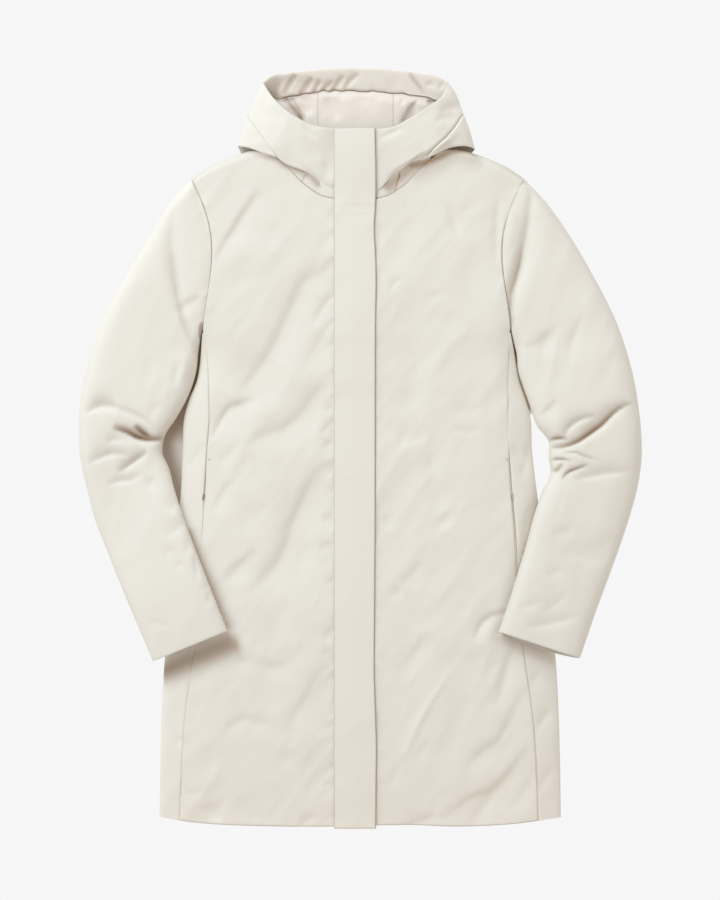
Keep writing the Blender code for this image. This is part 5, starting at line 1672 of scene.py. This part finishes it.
def glowing_floor(name, points, quads, shades):
    """A floor that glows evenly, and darkens to painted shadow where its shade is 1."""
    mesh = bpy.data.meshes.new(name)
    mesh.from_pydata(points, [], quads)
    value = mesh.attributes.new("shade", "FLOAT", "POINT")
    value.data.foreach_set("value", shades)
    material, tree, shader = new_material(
        name,
        {
            "Base Color": (0.0, 0.0, 0.0, 1),
            "Specular IOR Level": 0.0,
            "Roughness": 1.0,
            "Emission Strength": 1.0,
        },
    )
    shaded = add_node(tree, "ShaderNodeAttribute", attribute_name="shade")
    tone = add_node(tree, "ShaderNodeValToRGB")
    while len(tone.color_ramp.elements) < len(GAP_TONES):
        tone.color_ramp.elements.new(0.5)
    for stop, (place, colour) in zip(tone.color_ramp.elements, GAP_TONES):
        stop.position, stop.color = place, (*colour, 1)
    link(tree, shaded, "Fac", tone, "Fac")
    link(tree, tone, "Color", shader, "Emission Color")
    mesh.materials.append(material)
    sheet = bpy.data.objects.new(name, mesh)
    bpy.context.scene.collection.objects.link(sheet)


floor_corners = [(x * FLOOR_HALF, y * FLOOR_HALF, FLOOR_Z) for x, y in ((-1, -1), (1, -1), (1, 1), (-1, 1))]
glowing_floor("floor", floor_corners, [(0, 1, 2, 3)], [0.0] * 4)

# %% The shade in the gaps between the arms and the body
Gap = namedtuple("Gap", "half line")
GAPS = [
    Gap(24.0, [
        (-203, 150), (-212, 118), (-224, 80), (-240, 40), (-256, 10),
        (-254, -12), (-247, -35), (-240, -58), (-231, -84),
    ]),
    Gap(10.0, [(194, 150), (203, 115), (210, 82), (219, 56)]),
]
GAP_LEVELS = [(0.3, 1.0), (0.47, 0.82), (0.61, 0.74), (1.0, 0.72)]  # the shade at each part of the line
GAP_STEP = 2.5
GAP_Z = -0.4
GAP_CORE = 3.0  # the shade is full this far from the line
GAP_FADE = 0.45  # how much weaker it is at the sides, over the lower part of the line
GAP_EDGE = 1.3  # in half widths: where it ends

points, quads, shades = [], [], []
for gap in GAPS:
    (low_x, low_y), (high_x, high_y) = np.min(gap.line, 0) - 2 * gap.half, np.max(gap.line, 0) + 2 * gap.half
    x, y = np.meshgrid(np.arange(low_x, high_x, GAP_STEP), np.arange(low_y, high_y, GAP_STEP))
    signed, part = across_path(x, y, soft(gap.line, 30))
    aside = np.abs(signed)
    quads += grid_faces(np.arange(x.size).reshape(x.shape) + len(points)).tolist()
    points += (places(x, y, GAP_Z).reshape(-1, 3) * MM).tolist()
    spread = 1 - GAP_FADE * ramp(aside, GAP_CORE, gap.half) * ramp(part, 0.35, 0.65)
    level = curve(*zip(*GAP_LEVELS))(part) * spread * (1 - ramp(aside, gap.half, GAP_EDGE * gap.half))
    shades += level.ravel().tolist()
glowing_floor("painted_shadow_in_the_gaps", points, quads, shades)
print("the shade in the gaps has", len(quads), "faces")

# %% Light
KEY_FROM = (-2.2, 3.4, 3.3)  # metres
KEY_POWER = 170.0  # watts
KEY_SIZE = 2.9
KEY_TONE = (0.80, 0.935, 1.02)
FILL_TONE = (1.0, 0.92, 0.885)
FILL_STRENGTH = 0.68

lamp = bpy.data.lights.new("key", "AREA")
lamp.energy, lamp.size, lamp.color = KEY_POWER, KEY_SIZE, KEY_TONE
key = bpy.data.objects.new("key", lamp)
key.location = KEY_FROM
key.rotation_euler = Vector([-v for v in KEY_FROM]).to_track_quat("-Z", "Y").to_euler()
bpy.context.scene.collection.objects.link(key)
world = bpy.context.scene.world or bpy.data.worlds.new("studio")
bpy.context.scene.world = world
world.use_nodes = True
fill = world.node_tree.nodes["Background"]
fill.inputs["Color"].default_value = (*FILL_TONE, 1)
fill.inputs["Strength"].default_value = FILL_STRENGTH
print("key light", round(Vector(KEY_FROM).length, 2), "m away")

# %% Camera
FRAME_HEIGHT, FRAME_Z = 1.170, 0.012  # metres: how much the camera sees from top to bottom, at this height
LENS, SENSOR = 180.0, 36.0
AIM = (-0.0003, -0.002)  # what it looks straight down at

lens = bpy.data.cameras.new("camera")
lens.lens, lens.sensor_width = LENS, SENSOR
camera = bpy.data.objects.new("camera", lens)
camera.location = (*AIM, FRAME_HEIGHT * LENS / SENSOR + FRAME_Z)
bpy.context.scene.collection.objects.link(camera)
bpy.context.scene.camera = camera
bpy.context.scene.view_settings.view_transform = "Standard"
print("camera", round(camera.location.z, 2), "m up")
